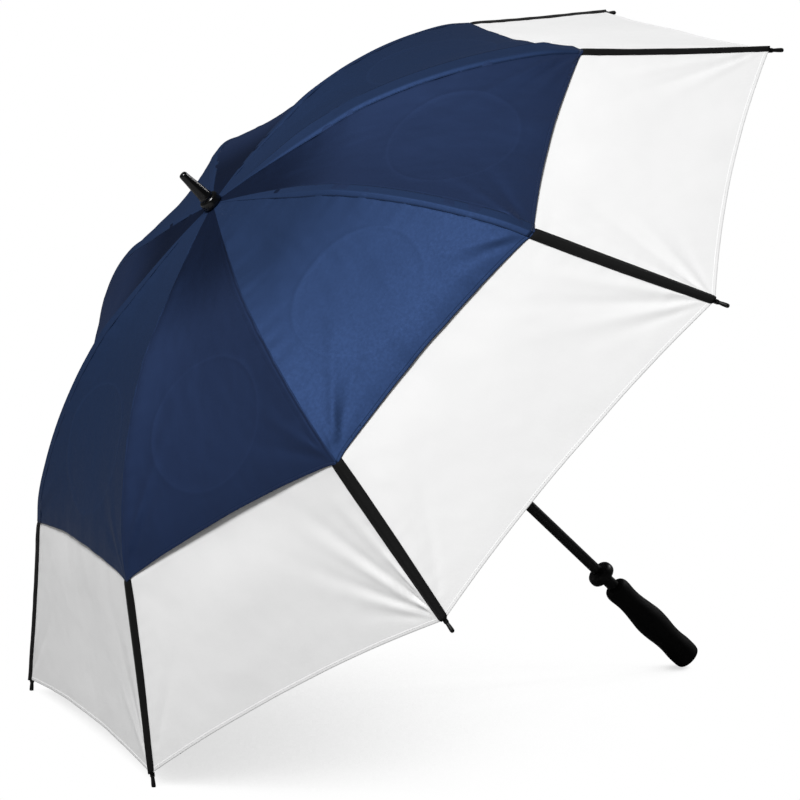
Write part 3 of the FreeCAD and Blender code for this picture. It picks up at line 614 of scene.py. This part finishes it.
def edge_lower(across):
    return LOWER_CORNER_R * across * across + LOWER_MIDDLE_R * (1 - across * across)


def vent_print(across, radius):
    """A faint raised ring over the vent's binding."""
    from_centre = np.hypot(across * radius * SIN_HALF, arc_len(radius) - VENT_S)
    return 0.45 * bell(from_centre - VENT_R, 3.2)


def lift_upper(gore, across, radius):
    return (wrinkle_upper(gore, across, radius) + seam_lift(gore, across, radius)
            + vent_print(across, radius))


# Extra gap between the canopies at the middle of a gore.
GAPS = {4: 2.6, 5: 4.4, 6: 1.6, 7: 1.6}


def lift_lower(gore, across, radius):
    """Under the upper canopy the lower one follows its folds, a little further in."""
    opening = GAPS.get(gore, 2.6) * (1 - across * across) * (1 - smoothstep(radius, 466, 548))
    gap = -0.9 - opening
    own = smoothstep(radius, 467, 522)
    upper = wrinkle_upper(gore, across, radius) + seam_lift(gore, across, radius)
    return upper * (1 - own) + wrinkle_lower(gore, across, radius) * own + gap


# ------------------------------------------------------------------ mesh helpers
def new_object(name, verts, faces, material, uvs=None, band_uvs=None):
    mesh = bpy.data.meshes.new(name)
    mesh.from_pydata([tuple(map(float, v)) for v in verts], [], faces)
    mesh.update()
    mesh.shade_smooth()
    for layer_name, values in (("cloth", uvs), ("across", band_uvs)):
        if values is None:
            continue
        layer = mesh.uv_layers.new(name=layer_name)
        corners = np.empty(len(mesh.loops), int)
        mesh.loops.foreach_get("vertex_index", corners)
        layer.data.foreach_set("uv", np.asarray(values, np.float32)[corners].ravel())
    mesh.materials.append(material)
    obj = bpy.data.objects.new(name, mesh)
    bpy.context.collection.objects.link(obj)
    return obj


def grid_faces(rows, columns, closed=False):
    faces = []
    for i in range(rows - 1):
        for k in range(columns if closed else columns - 1):
            a, b = i * columns + k, i * columns + (k + 1) % columns
            faces.append((a, b, b + columns, a + columns))
    return faces


def fix_normals(obj, recalculate=True, face_up=False):
    bm = bmesh.new()
    bm.from_mesh(obj.data)
    if recalculate:
        bmesh.ops.recalc_face_normals(bm, faces=bm.faces[:])
    if face_up and sum(f.normal.z * f.calc_area() for f in bm.faces) < 0:
        bmesh.ops.reverse_faces(bm, faces=bm.faces[:])
    bm.to_mesh(obj.data)
    bm.free()
    obj.data.shade_smooth()


def thicken(obj, thickness):
    """Gives a sheet its thickness, inwards, as real geometry."""
    solidify = obj.modifiers.new("thick", "SOLIDIFY")
    solidify.thickness = thickness * MM
    solidify.offset = -1.0
    solidify.use_even_offset = False
    depsgraph = bpy.context.evaluated_depsgraph_get()
    mesh = bpy.data.meshes.new_from_object(obj.evaluated_get(depsgraph))
    obj.modifiers.clear()
    sheet = obj.data
    obj.data = mesh
    bpy.data.meshes.remove(sheet)


def halves(obj, azimuth, distance):
    """Cuts a piece across an azimuth at a distance from the shaft's axis; returns the inner
    and outer parts, None where there is nothing."""
    normal = Vector((math.cos(azimuth), math.sin(azimuth), 0.0))
    parts = []
    for tag, inner in (("in", True), ("out", False)):
        mesh = obj.data.copy()
        bm = bmesh.new()
        bm.from_mesh(mesh)
        cut = bmesh.ops.bisect_plane(
            bm, geom=bm.verts[:] + bm.edges[:] + bm.faces[:], dist=1e-7,
            plane_co=normal * distance * MM, plane_no=normal,
            clear_outer=inner, clear_inner=not inner)["geom_cut"]
        rim = [e for e in cut
               if isinstance(e, bmesh.types.BMEdge) and e.is_valid and len(e.link_faces) == 1]
        if rim:
            caps = bmesh.ops.holes_fill(bm, edges=rim, sides=0)["faces"]
            for e in rim:
                e.smooth = False
            bmesh.ops.triangulate(bm, faces=caps)
        if len(bm.faces) == 0:
            bm.free()
            parts.append(None)
            continue
        bm.to_mesh(mesh)
        bm.free()
        mesh.shade_smooth()
        part = bpy.data.objects.new(obj.name + "_" + tag, mesh)
        bpy.context.collection.objects.link(part)
        parts.append(part)
    bpy.data.objects.remove(obj)
    return parts


def ride_gore(obj, gore):
    """Cuts a cloth piece; its inner part rides the upper body of the gore, its outer part the
    lower one. Returns the parts."""
    azimuth = gore_azimuth(gore)
    bodies = ("canopy_upper_%d" % gore, "canopy_lower_%d" % gore)
    ridden = []
    for part, body in zip(halves(obj, azimuth, CLOTH_SPLIT_R * COS_HALF), bodies):
        if part is None:
            continue
        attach(part, body)
        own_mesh(part)
        ridden.append(part)
    return ridden


def ride_rib(obj, rib):
    bodies = ("rib_inner_%d" % rib, "rib_outer_%d" % rib)
    for part, body in zip(halves(obj, rib_azimuth(rib), RIB_BEND_R), bodies):
        if part is not None:
            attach(part, body)


def normals_of(points):
    """Outward normals of a grid of points (rows, columns, 3)."""
    normals = np.cross(np.gradient(points, axis=0), np.gradient(points, axis=1))
    normals /= np.linalg.norm(normals, axis=-1, keepdims=True) + 1e-12
    return np.where(normals[..., 2:3] < 0, -normals, normals)


STITCH_PITCH = 3.6
STITCH_SIDES = 6
STITCH_RINGS = ((0.0, 0.45), (0.25, 1.0), (0.75, 1.0), (1.0, 0.45))  # share of length, of radius


def stitches(name, lines, material, length, thickness):
    """One object of little thread stitches lying along lines of (points, normals);
    thickness is a stitch's radius."""
    verts, faces, uvs = [], [], []
    turn = np.linspace(0, 2 * math.pi, STITCH_SIDES + 1)[:-1]
    circle = [(math.cos(a), math.sin(a)) for a in turn]
    for points, normals in lines:
        points = np.asarray(points, float) / MM
        run = np.concatenate([[0], np.cumsum(np.linalg.norm(np.diff(points, axis=0), axis=1))])

        def sample(values, at):
            return np.array([np.interp(at, run, values[:, c]) for c in range(3)])

        for i in range(int(run[-1] // STITCH_PITCH)):
            start = (i + 0.5) * STITCH_PITCH - length / 2
            tail, head = sample(points, start), sample(points, start + length)
            normal = sample(normals, start)
            normal /= np.linalg.norm(normal) + 1e-9
            direction = head - tail
            direction /= np.linalg.norm(direction) + 1e-9
            sideways = np.cross(direction, normal)
            base = len(verts)
            for t, share in STITCH_RINGS:
                centre = tail + (head - tail) * t
                for x, y in circle:
                    verts.append((centre + thickness * share * (x * sideways + y * normal)) * MM)
                    uvs.append((x * 0.001, t * length * MM))
            for k in range(len(STITCH_RINGS) - 1):
                for m in range(STITCH_SIDES):
                    near, far = k * STITCH_SIDES + base, (k + 1) * STITCH_SIDES + base
                    n = (m + 1) % STITCH_SIDES
                    faces.append((near + m, near + n, far + n, far + m))
            faces.append(tuple(base + k for k in range(5, -1, -1)))
            faces.append(tuple(base + k for k in range(18, 24)))
    return new_object(name, verts, faces, material, uvs=uvs)


# ------------------------------------------------------------------ upper and lower canopy
def gore_sheet(name, gore, inner_r, edge, lift, material, rows):
    shares = np.linspace(0, 1, rows)
    corner_r = float(edge(np.array(1.0)))
    across = np.array([gore_columns(gore, inner_r + t * (corner_r - inner_r), GORE_COLUMNS)
                       for t in shares])
    columns = across.shape[1]
    radius = inner_r + np.repeat(shares[:, None], columns, 1) * (edge(across) - inner_r)
    points = surface(gore, across, radius, lift(gore, across, radius))
    uvs = np.stack([across * radius * SIN_HALF * MM, arc_len(radius) * MM], -1)
    obj = new_object(name, points.reshape(-1, 3), grid_faces(rows, columns), material,
                     uvs=uvs.reshape(-1, 2))
    fix_normals(obj, recalculate=False, face_up=True)
    thicken(obj, 0.4)
    return obj


def edge_hem(name, gore, edge, lift, width, height, material, thread_material, base_r):
    """A folded hem along a gore's outer edge, with one line of stitches."""
    across = gore_columns(gore, base_r, 90)[1:-1]
    section = (  # (radius from the edge, lift)
        (-width, 0.02), (-width + 0.5, height), (-width / 2, height + 0.06), (-0.7, height),
        (0.2, height * 0.5), (0.35, -0.2), (-0.5, -0.7), (-width, -0.55))
    # Rows near 0.5 lie on the outer lip, where the upper hem's material paints a dark line of
    # shade.
    band_positions = np.array([1.5, 1.3, 1.1, 0.85, 0.55, 0.5, 0.7, 1.0])
    loops = []
    for offset, rise in section:
        radius = edge(across) + offset
        folds = lift(gore, across, np.minimum(radius, edge(across)))
        loops.append(surface(gore, across, radius, folds + rise))
    points = np.array(loops)
    n, m = points.shape[:2]
    faces = grid_faces(n, m)
    faces += [((n - 1) * m + k, (n - 1) * m + k + 1, k + 1, k) for k in range(m - 1)]
    faces.append(tuple(i * m for i in range(n)))
    faces.append(tuple(i * m + m - 1 for i in range(n))[::-1])
    uvs = np.zeros((n, m, 2))
    uvs[..., 0] = across * base_r * SIN_HALF * MM
    uvs[..., 1] = np.linspace(0, 2 * width * MM, n)[:, None]
    band_uvs = np.zeros((n, m, 2))
    band_uvs[..., 0] = band_positions[:, None]
    hem = new_object("%s_%d" % (name, gore), points.reshape(-1, 3), faces, material,
                     uvs=uvs.reshape(-1, 2), band_uvs=band_uvs.reshape(-1, 2))
    fix_normals(hem)

    radius = edge(across) - width + 1.1
    rise = lift(gore, across, radius) + height + 0.06
    line = surface(gore, across, radius, rise)
    normals = normals_of(np.stack([line, surface(gore, across, radius + 2, rise)]))[0]
    seam = stitches("%s_stitch_%d" % (name, gore), [(line, normals)], thread_material,
                    length=2.5, thickness=0.16)
    ride_gore(hem, gore)
    ride_gore(seam, gore)


for j in GORES:
    even = j % 2 == 0
    upper = gore_sheet("upper_gore_%d" % j, j, UPPER_INNER_R, edge_upper, lift_upper,
                       navy_even if even else navy_odd, rows=GORE_ROWS)
    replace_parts(ride_gore(upper, j)[0], "upper_panel_%d" % j)
    lower = gore_sheet("lower_gore_%d" % j, j, LOWER_INNER_R, edge_lower, lift_lower,
                       white_cloth, rows=GORE_ROWS // 2 + 20)
    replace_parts(ride_gore(lower, j)[0], "lower_panel_%d" % j)
    edge_hem("upper_hem", j, edge_upper, lift_upper, width=2.8, height=0.05, base_r=465.0,
             material=navy_edge_even if even else navy_edge_odd, thread_material=navy_thread)
    edge_hem("lower_hem", j, edge_lower, lift_lower, width=3.4, height=0.15, base_r=635.0,
             material=white_hem, thread_material=white_thread)

# ------------------------------------------------------------------ inner canopy
# A sheet under each upper gore, with a round net vent. It is laid out on the flattened gore,
# as (across, along) points on rays from the vent's centre.
INNER_START, INNER_END = 3.0, 466.0  # its ends along the gore
RAYS = 112
CLOTH_RINGS = 20
NET_RINGS = 14
# The binding's section: (distance outside the vent's radius, drop below the surface).
BINDING = ((-3.2, 3.3), (-3.2, 1.9), (0.0, 1.6), (3.4, 1.9), (3.4, 3.3), (0.0, 3.6))


def inner_side(along):
    return at_arc(along) * SIN_HALF * 0.985


def outline_distance(angle):
    """Distance from the vent's centre to the sheet's outline."""
    near, far = 0.0, 700.0
    for _ in range(40):
        distance = 0.5 * (near + far)
        along = VENT_S + distance * math.cos(angle)
        if (INNER_START <= along <= INNER_END
                and abs(distance * math.sin(angle)) <= inner_side(along)):
            near = distance
        else:
            far = distance
    return near


def ray_angles():
    """Evenly spaced rays, with the nearest ones moved onto the outline's corners."""
    angles = [2 * math.pi * i / RAYS for i in range(RAYS)]
    moved = set()
    for along in (INNER_END, INNER_START):
        for sign in (-1, 1):
            corner = math.atan2(sign * inner_side(along), along - VENT_S) % (2 * math.pi)
            free = [i for i in range(RAYS) if i not in moved]
            i = min(free, key=lambda q: abs(
                (angles[q] - corner + math.pi) % (2 * math.pi) - math.pi))
            moved.add(i)
            angles[i] = corner
    return sorted(angles)


ANGLES = ray_angles()
REACHES = [outline_distance(angle) for angle in ANGLES]


def ray_points(distances):
    return [(d * math.sin(angle), VENT_S + d * math.cos(angle))
            for angle, d in zip(ANGLES, distances)]


def inner_surface(gore, flat, drop):
    radius = at_arc(flat[..., 1])
    across = np.clip(flat[..., 0] / (radius * SIN_HALF), -1, 1)
    billow = -3.4 * (1 - across * across) * smoothstep(radius, 60, 200)
    own = (-drop + seam_lift(gore, across, radius)
           + billow * (1 - 0.2 * smoothstep(radius, 380, 440))
           + 0.5 * smooth_noise(across * 3, radius / 60.0, gore * 7.7))
    # over the lower canopy's inner edge it stays inside that cloth's folds
    overlap = smoothstep(radius, 412, 432)
    inside = np.minimum(own, lift_lower(gore, across, radius) - 2.4)
    return surface(gore, across, radius, own * (1 - overlap) + inside * overlap)


def inner_cloth(gore):
    flat = np.array([ray_points([VENT_R + (q / (CLOTH_RINGS - 1.0)) ** 1.15 * (d - VENT_R)
                                 for d in REACHES]) for q in range(CLOTH_RINGS)])
    points = inner_surface(gore, flat, drop=2.4)
    obj = new_object("inner_gore_%d" % gore, points.reshape(-1, 3),
                     grid_faces(CLOTH_RINGS, RAYS, closed=True), navy_inner,
                     uvs=(flat * MM).reshape(-1, 2))
    fix_normals(obj, face_up=True)
    thicken(obj, 0.35)
    ride_gore(obj, gore)


def vent_net(gore):
    """A disc of netting, a little wider than the vent."""
    flat = np.array([ray_points([q / (NET_RINGS - 1.0) * 1.025 * VENT_R] * RAYS)
                     for q in range(1, NET_RINGS)])
    points = inner_surface(gore, flat, drop=3.0)
    centre = inner_surface(gore, np.array([[(0.0, VENT_S)]]), drop=3.0)[0, 0]
    uvs = [(0.0, VENT_S * MM)] + [tuple(x) for x in (flat * MM).reshape(-1, 2)]
    faces = [(0, 1 + i, 1 + (i + 1) % RAYS) for i in range(RAYS)]
    faces += [tuple(x + 1 for x in f) for f in grid_faces(NET_RINGS - 1, RAYS, closed=True)]
    obj = new_object("vent_net_%d" % gore, [centre] + list(points.reshape(-1, 3)), faces, net,
                     uvs=uvs)
    fix_normals(obj, face_up=True)
    thicken(obj, 0.22)
    ride_gore(obj, gore)


def vent_binding(gore):
    points = np.array([inner_surface(gore, np.array(ray_points([VENT_R + offset] * RAYS)), drop)
                       for offset, drop in BINDING])
    rows = len(BINDING)
    last = (rows - 1) * RAYS
    faces = grid_faces(rows, RAYS, closed=True)
    faces += [(last + i, last + (i + 1) % RAYS, (i + 1) % RAYS, i) for i in range(RAYS)]
    uvs = np.zeros((rows, RAYS, 2))
    uvs[..., 0] = np.linspace(0, 0.55, RAYS)
    uvs[..., 1] = np.linspace(0, 0.012, rows)[:, None]
    uvs = uvs.reshape(-1, 2)
    obj = new_object("vent_binding_%d" % gore, points.reshape(-1, 3), faces, black_cloth,
                     uvs=uvs, band_uvs=uvs)
    fix_normals(obj)
    ride_gore(obj, gore)


for j in GORES:
    inner_cloth(j)
    vent_net(j)
    vent_binding(j)


# ------------------------------------------------------------------ seam bands and rib sleeves
def over_rib(rib, offset, radius, lift):
    """Points beside a rib at a signed distance: > 0 on the gore after it, < 0 before."""
    offset, radius, lift = np.broadcast_arrays(
        np.asarray(offset, float), np.asarray(radius, float), np.asarray(lift, float))
    share = np.abs(offset) / (radius * SIN_HALF)
    later = surface(rib, -1 + share, radius, lift)
    earlier = surface(before(rib), 1 - share, radius, lift)
    return np.where(offset[..., None] >= 0, later, earlier)


def stitch_line(rib, offset, radius, lift, reach):
    """Points beside a rib and their normals, taken from points at reach on either side."""
    sides = [over_rib(rib, offset + d, radius, lift) for d in (-reach, reach)]
    return over_rib(rib, offset, radius, lift), normals_of(np.stack(sides, 1))[:, 0]


def closed_strip(name, top, low, material, offset, radius, shares):
    """A solid strip between top and bottom grids (n along, m across) of the same shape."""
    n, m = top.shape[:2]
    b = n * m
    end = b - m
    faces = grid_faces(n, m)
    faces += [tuple(reversed([x + b for x in f])) for f in grid_faces(n, m)]
    faces += [(i * m, (i + 1) * m, (i + 1) * m + b, i * m + b) for i in range(n - 1)]
    faces += [((i + 1) * m + m - 1, i * m + m - 1, i * m + m - 1 + b, (i + 1) * m + m - 1 + b)
              for i in range(n - 1)]
    faces += [(k + 1, k, k + b, k + 1 + b) for k in range(m - 1)]
    faces += [(end + k, end + k + 1, end + k + 1 + b, end + k + b) for k in range(m - 1)]
    along = arc_len(radius) * MM
    uvs = np.stack([offset * MM, along], -1).reshape(-1, 2)
    band_uvs = np.stack([np.broadcast_to(shares, along.shape), along], -1).reshape(-1, 2)
    obj = new_object(name, np.concatenate([top.reshape(-1, 3), low.reshape(-1, 3)]), faces,
                     material, uvs=np.concatenate([uvs] * 2),
                     band_uvs=np.concatenate([band_uvs] * 2))
    fix_normals(obj)
    return obj


def seam_band(rib):
    """The flat band sewn down beside a rib, between two creases."""
    inner_r, outer_r = 13.6, 468.2
    radii = inner_r + np.linspace(0, 1, 132) * (outer_r - inner_r)
    start, end = SEAMS[rib].band_start, SEAMS[rib].band_end
    shares = np.array([0.0, 0.03, 0.08, 0.16, 0.28, 0.40, 0.52, 0.64, 0.76, 0.86, 0.93, 0.97,
                       1.0])
    # one more column runs right over the rib
    over = max(0.0, min(1.0, -start / (end - start)))
    shares = np.unique(np.concatenate([shares, [over]]))
    offset = (start + (end - start) * shares)[None, :] * np.maximum(fit(radii), 0.09)[:, None]
    radius = np.repeat(radii[:, None], offset.shape[1], 1)
    height = seam_at(rib, offset, radius)
    band = closed_strip("seam_band_%d" % rib, over_rib(rib, offset, radius, height + 0.34),
                        over_rib(rib, offset, radius, height - 0.40), navy_band,
                        offset, radius, shares)
    ride_rib(band, rib)
    lines = []
    sewn = radii[radii > 98]
    for place in (start + 1.3, end - 1.3):
        beside = place * fit(sewn)
        lift = seam_at(rib, beside, sewn) + 0.34
        lines.append(stitch_line(rib, beside, sewn, lift, reach=0.5))
    ride_rib(stitches("seam_stitch_%d" % rib, lines, navy_thread, length=2.4, thickness=0.13),
             rib)


# Half width and hump of a rib sleeve against the radius.
SLEEVE_START, SLEEVE_END = 455.0, 640.8
SLEEVE_WIDTH = ([455, 469, 500, 560, 634, 638.2, 639.8, 640.8],
                [8.2, 8.4, 8.9, 8.4, 6.6, 6.4, 5.9, 4.9])
SLEEVE_HUMP = [455, 468, 475, 560, 632, 640.8], [0.1, 0.2, 1.1, 1.5, 2.0, 2.2]


def sleeve(rib):
    """The flat black sleeve that holds the rib's outer end against the lower canopy."""
    rows, columns = 84, 17
    radii = SLEEVE_START + np.linspace(0, 1, rows) * (SLEEVE_END - SLEEVE_START)
    half = np.interp(radii, *SLEEVE_WIDTH)
    sides = np.linspace(-1, 1, columns)
    offset = sides[None, :] * half[:, None]
    radius = np.repeat(radii[:, None], columns, 1)
    hump = np.interp(radii, *SLEEVE_HUMP)[:, None]
    bulge = np.clip(1 - (np.abs(sides) / 0.80) ** 2, 0, 1)[None, :] ** 0.8
    wobble = smooth_noise(radius / 15.0, offset / 9.0, rib * 8.3) * 0.4
    seam = seam_at(rib, offset, radius) * (1 - smoothstep(radius, 467, 522))
    # 0 where the sleeve is tucked under the upper canopy, 1 outside it
    clear = smoothstep(radii, 466, 472)[:, None]
    top = over_rib(rib, offset, radius, -2.1 + 2.1 * clear + 0.45 + hump * bulge
                   + wobble * bulge * clear + seam)
    low = over_rib(rib, offset, radius, -2.8 + 2.1 * clear + seam)
    middle = columns // 2
    for grid in (top, low):  # soften the fold over the rib
        grid[:, middle] = (0.5 * grid[:, middle]
                           + 0.25 * (grid[:, middle - 1] + grid[:, middle + 1]))
    obj = closed_strip("rib_sleeve_%d" % rib, top, low, black_cloth, offset, radius,
                       (sides + 1) / 2)
    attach(obj, "rib_outer_%d" % rib)
    sewn = (radii > 476) & (radii < 637)
    lines = [stitch_line(rib, sign * (half[sewn] - 1.1), radii[sewn], 0.5, reach=1)
             for sign in (-1, 1)]
    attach(stitches("sleeve_stitch_%d" % rib, lines, black_thread, length=2.4,
                     thickness=0.16), "rib_outer_%d" % rib)


for j in GORES:
    if j not in (5, 6):
        seam_band(j)
    sleeve(j)


# ------------------------------------------------------------------ turned pieces
def smooth_outline(points, per):
    """A Catmull-Rom curve through the points, with per steps between each two."""
    padded = [points[0]] + list(points) + [points[-1]]
    curve = []
    for i in range(1, len(padded) - 2):
        for q in range(per):
            t = q / per
            curve.append(tuple(
                0.5 * (2 * b + (c - a) * t + (2 * a - 5 * b + 4 * c - d) * t * t
                       + (3 * b - a - 3 * c + d) * t**3)
                for a, b, c, d in zip(*padded[i - 1:i + 3])))
    curve.append(points[-1])
    return curve


def lathe(name, outline, material, segments, replaced, matrix=None, body="root"):
    """A turned solid; the outline runs from the bottom to the top."""
    verts = []
    for radius, z in outline:
        radius = max(radius, 0.02)
        for i in range(segments):
            a = 2 * math.pi * i / segments
            verts.append(Vector((radius * math.cos(a), radius * math.sin(a), z)) * MM)
    faces = grid_faces(len(outline), segments, closed=True)
    faces.append(tuple(reversed(range(segments))))
    faces.append(tuple((len(outline) - 1) * segments + i for i in range(segments)))
    if matrix is not None:
        verts = [matrix @ v for v in verts]
    obj = new_object(name, verts, faces, material)
    fix_normals(obj)
    # keep crisp edges where the outline turns sharply
    bm = bmesh.new()
    bm.from_mesh(obj.data)
    for e in bm.edges:
        if len(e.link_faces) == 2 and e.calc_face_angle(0) > math.radians(38):
            e.smooth = False
    bm.to_mesh(obj.data)
    bm.free()
    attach(obj, body)
    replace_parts(obj, replaced)


# Outlines: (radius, height).
GRIP_SIDE = [
    (14.6, 0.0), (17.0, 1.6), (18.1, 5.5), (18.4, 10.0), (18.5, 22.0), (17.4, 36.0),
    (17.7, 50.0), (19.4, 66.0), (20.0, 82.0), (18.3, 98.0), (16.3, 114.0), (15.8, 128.0),
    (16.9, 142.0), (16.7, 148.5), (14.6, 153.2), (11.0, 154.9)]
GUARD = [
    (8.0, 155.0), (8.05, 162.0), (8.0, 169.0), (8.5, 171.0), (11.4, 172.3), (15.2, 173.8),
    (17.5, 176.4), (18.1, 180.0), (17.6, 184.0), (15.6, 187.2), (12.0, 189.0), (9.0, 189.6),
    (7.3, 189.7)]
COLLAR = [
    (7.1, 931.2), (12.6, 931.2), (13.4, 931.5), (13.75, 932.3), (13.75, 933.4), (13.6, 935.4),
    (13.35, 938.0), (13.1, 939.8), (12.5, 941.2), (11.5, 942.1), (10.3, 942.5), (9.3, 942.65)]
FERRULE = [
    (9.3, 942.6), (9.35, 944.6), (9.2, 946.4), (8.75, 947.6), (8.55, 948.6), (7.8, 957.0),
    (6.9, 967.0), (6.0, 977.4), (5.5, 984.4), (5.35, 985.9), (4.9, 987.1), (4.0, 987.9),
    (2.6, 988.18), (0.0, 988.2)]
TIP = [
    (1.9, 0.0), (2.8, 0.1), (3.0, 1.0), (3.0, 4.2), (2.85, 5.2), (2.4, 6.0), (2.3, 7.2),
    (2.35, 8.4), (2.5, 10.4), (2.65, 13.0), (2.75, 15.6), (2.7, 17.0), (2.35, 18.3),
    (1.7, 19.1), (0.9, 19.45), (0.0, 19.5)]
RIB_END = (638.07, -333.19)  # radius, and height above the apex
RIB_END_SLOPE = math.radians(-42.88926)
TIP_OVERLAP = 1.5  # how far a tip's base is set back along the rib

grip = [(0.0, 0.0), (13.0, 0.0)] + smooth_outline(GRIP_SIDE, per=7) + [(7.6, 155.0)]
lathe("grip_body", grip, rubber, segments=112, replaced="grip")
lathe("hand_guard_body", smooth_outline(GUARD, per=6), plastic, segments=96,
      replaced="hand_guard")
lathe("top_collar_body", smooth_outline(COLLAR, per=4), gloss, segments=96,
      replaced="top_collar")
lathe("ferrule_body", smooth_outline(FERRULE, per=5), gloss, segments=96, replaced="ferrule")

tip_base = Vector(((RIB_END[0] - TIP_OVERLAP * math.cos(RIB_END_SLOPE)) * MM, 0.0,
                   (APEX + RIB_END[1] - TIP_OVERLAP * math.sin(RIB_END_SLOPE)) * MM))
for j in GORES:
    placed = (Matrix.Rotation(rib_azimuth(j), 4, "Z") @ Matrix.Translation(tip_base)
              @ Matrix.Rotation(math.pi / 2 - RIB_END_SLOPE, 4, "Y"))
    lathe("tip_body_%d" % j, smooth_outline(TIP, per=4), plastic, segments=32,
          replaced="tip_%d" % j, matrix=placed, body="rib_outer_%d" % j)

# ------------------------------------------------------------------ finishes of the CAD pieces
FINISHES = {
    "shaft": satin, "top_notch": plastic, "notch_wire": steel, "runner": plastic,
    "runner_wire": steel, "catch_top": steel, "catch_bottom": steel,
    "rib_inner": fibreglass, "rib_outer": fibreglass, "stretcher": fibreglass}
for name, piece in frame["nodes"].items():
    stem, _, number = name.rpartition("_")
    finish = FINISHES.get(stem if number.isdigit() else name)
    if finish is None:
        continue
    if not piece.material_slots:
        piece.data.materials.append(finish)
    for slot in piece.material_slots:
        slot.material = finish


# ------------------------------------------------------------------ floor
def polar(radius, degrees, z):
    azimuth = math.radians(degrees)
    return Vector((radius * math.cos(azimuth), radius * math.sin(azimuth), z))


def floor_material():
    """Plain to the camera with a soft contact shade, grey to other rays, clear from behind."""
    g = Graph(bpy.data.materials.new("pale_floor"))
    mottle = g.noise(g.object_place(), scale=3.0)
    grey_side = g.node("ShaderNodeBsdfDiffuse", {
        "Color": g.mix(mottle, (0.27, 0.27, 0.27, 1), (0.29, 0.29, 0.29, 1))})
    occlusion = g.node("ShaderNodeAmbientOcclusion", {"Distance": 1.3}, samples=16)
    shade = g.smooth_range(occlusion.outputs["AO"], start=0.16, end=0.46, low=0.66, high=1.0)
    seen = g.node("ShaderNodeEmission", {"Color": (1, 1, 1, 1), "Strength": shade})
    camera_ray = g.node("ShaderNodeLightPath").outputs["Is Camera Ray"]
    front = g.mix_shaders(camera_ray, grey_side.outputs[0], seen.outputs[0])
    behind = g.node("ShaderNodeNewGeometry").outputs["Backfacing"]
    clear = g.node("ShaderNodeBsdfTransparent")
    return g.done(g.mix_shaders(behind, front, clear.outputs[0]))


# In metres: the plane through the ends of ribs 5 and 4 and the grip's side, moved out a little.
FLOOR_HALF = 6.0
FLOOR_GAP = 0.0032
end_5, end_4 = polar(0.650, 180.0, 0.5906), polar(0.650, 135.0, 0.5906)
grip_side = polar(0.0182, 157.5, 0.006)
floor_normal = (end_4 - end_5).cross(grip_side - end_5).normalized()
if floor_normal.dot(Vector((0, 0, 0.6)) - end_5) < 0:
    floor_normal = -floor_normal
origin = end_5 - floor_normal * FLOOR_GAP
along_x = (end_4 - end_5).normalized()
along_y = floor_normal.cross(along_x)
floor_mesh = bpy.data.meshes.new("floor")
floor_mesh.from_pydata(
    [tuple(origin + along_x * x * FLOOR_HALF + along_y * y * FLOOR_HALF)
     for x, y in ((-1, -1), (1, -1), (1, 1), (-1, 1))], [], [(0, 1, 2, 3)])
floor = bpy.data.objects.new("floor", floor_mesh)
bpy.context.collection.objects.link(floor)
floor_mesh.materials.append(floor_material())
bm = bmesh.new()
bm.from_mesh(floor_mesh)
bm.faces.ensure_lookup_table()
if bm.faces[0].normal.dot(floor_normal) < 0:
    bmesh.ops.reverse_faces(bm, faces=bm.faces[:])
bm.to_mesh(floor_mesh)
bm.free()

# ------------------------------------------------------------------ camera and lights (metres)
scene = bpy.context.scene
CAMERA_PLACE = Vector((-2.579971, -4.420037, 2.770285))
CAMERA_TURN = Matrix(((0.45280306, 0.76359928, -0.46031025),
                      (-0.59389617, -0.12676174, -0.7944928),
                      (-0.66502386, 0.63312526, 0.39610058)))
lens = bpy.data.cameras.new("camera")
lens.sensor_width = 36.0
lens.lens = 195.28794
lens.clip_end = 60.0
camera = bpy.data.objects.new("camera", lens)
camera.matrix_world = Matrix.Translation(CAMERA_PLACE) @ CAMERA_TURN.to_4x4()
bpy.context.collection.objects.link(camera)
scene.camera = camera


def disk_light(name, place, direction, size, power):
    """A round area light at a place, facing against the direction."""
    light = bpy.data.lights.new(name, "AREA")
    light.shape = "DISK"
    light.size = size
    light.energy = power
    obj = bpy.data.objects.new(name, light)
    obj.location = place
    obj.rotation_mode = "QUATERNION"
    obj.rotation_quaternion = direction.normalized().to_track_quat("Z", "Y")
    bpy.context.collection.objects.link(obj)
    return light


centre = Vector((0, 0, 0.72))
ferrule_centre = Vector((0, 0, 0.967))
key = Vector((0.08, -0.28, 0.957))
side = Vector((0.945, -0.133, -0.30))
strip = Vector((0.816, -0.507, -0.2755))
disk_light("key", centre + key.normalized() * 4.2, key, size=1.7, power=205.0)
disk_light("side", centre + side.normalized() * 2.6, side, size=0.9, power=18.0)
strip_light = disk_light("strip", ferrule_centre + strip * 1.1, strip, size=0.24, power=0.006)
strip_light.spread = math.radians(9.0)


# ------------------------------------------------------------------ world
def studio_world():
    """White to the camera, dim in reflections, and a soft fill for all other rays."""
    world = bpy.data.worlds.new("studio")
    scene.world = world
    g = Graph(world, output="ShaderNodeOutputWorld")

    def background(color, strength):
        return g.node("ShaderNodeBackground", {"Color": color, "Strength": strength}).outputs[0]

    fill = background((1.0, 1.0, 1.0, 1), strength=0.17)
    seen = background((1.0, 1.0, 1.0, 1), strength=1.0)
    reflected = background((0.9, 0.95, 1.0, 1), strength=0.05)
    ray = g.node("ShaderNodeLightPath").outputs
    unseen = g.mix_shaders(ray["Is Glossy Ray"], fill, reflected)
    g.done(g.mix_shaders(ray["Is Camera Ray"], unseen, seen))


studio_world()
scene.view_settings.view_transform = "Standard"
scene.view_settings.look = "None"
scene.view_settings.exposure = 0.0
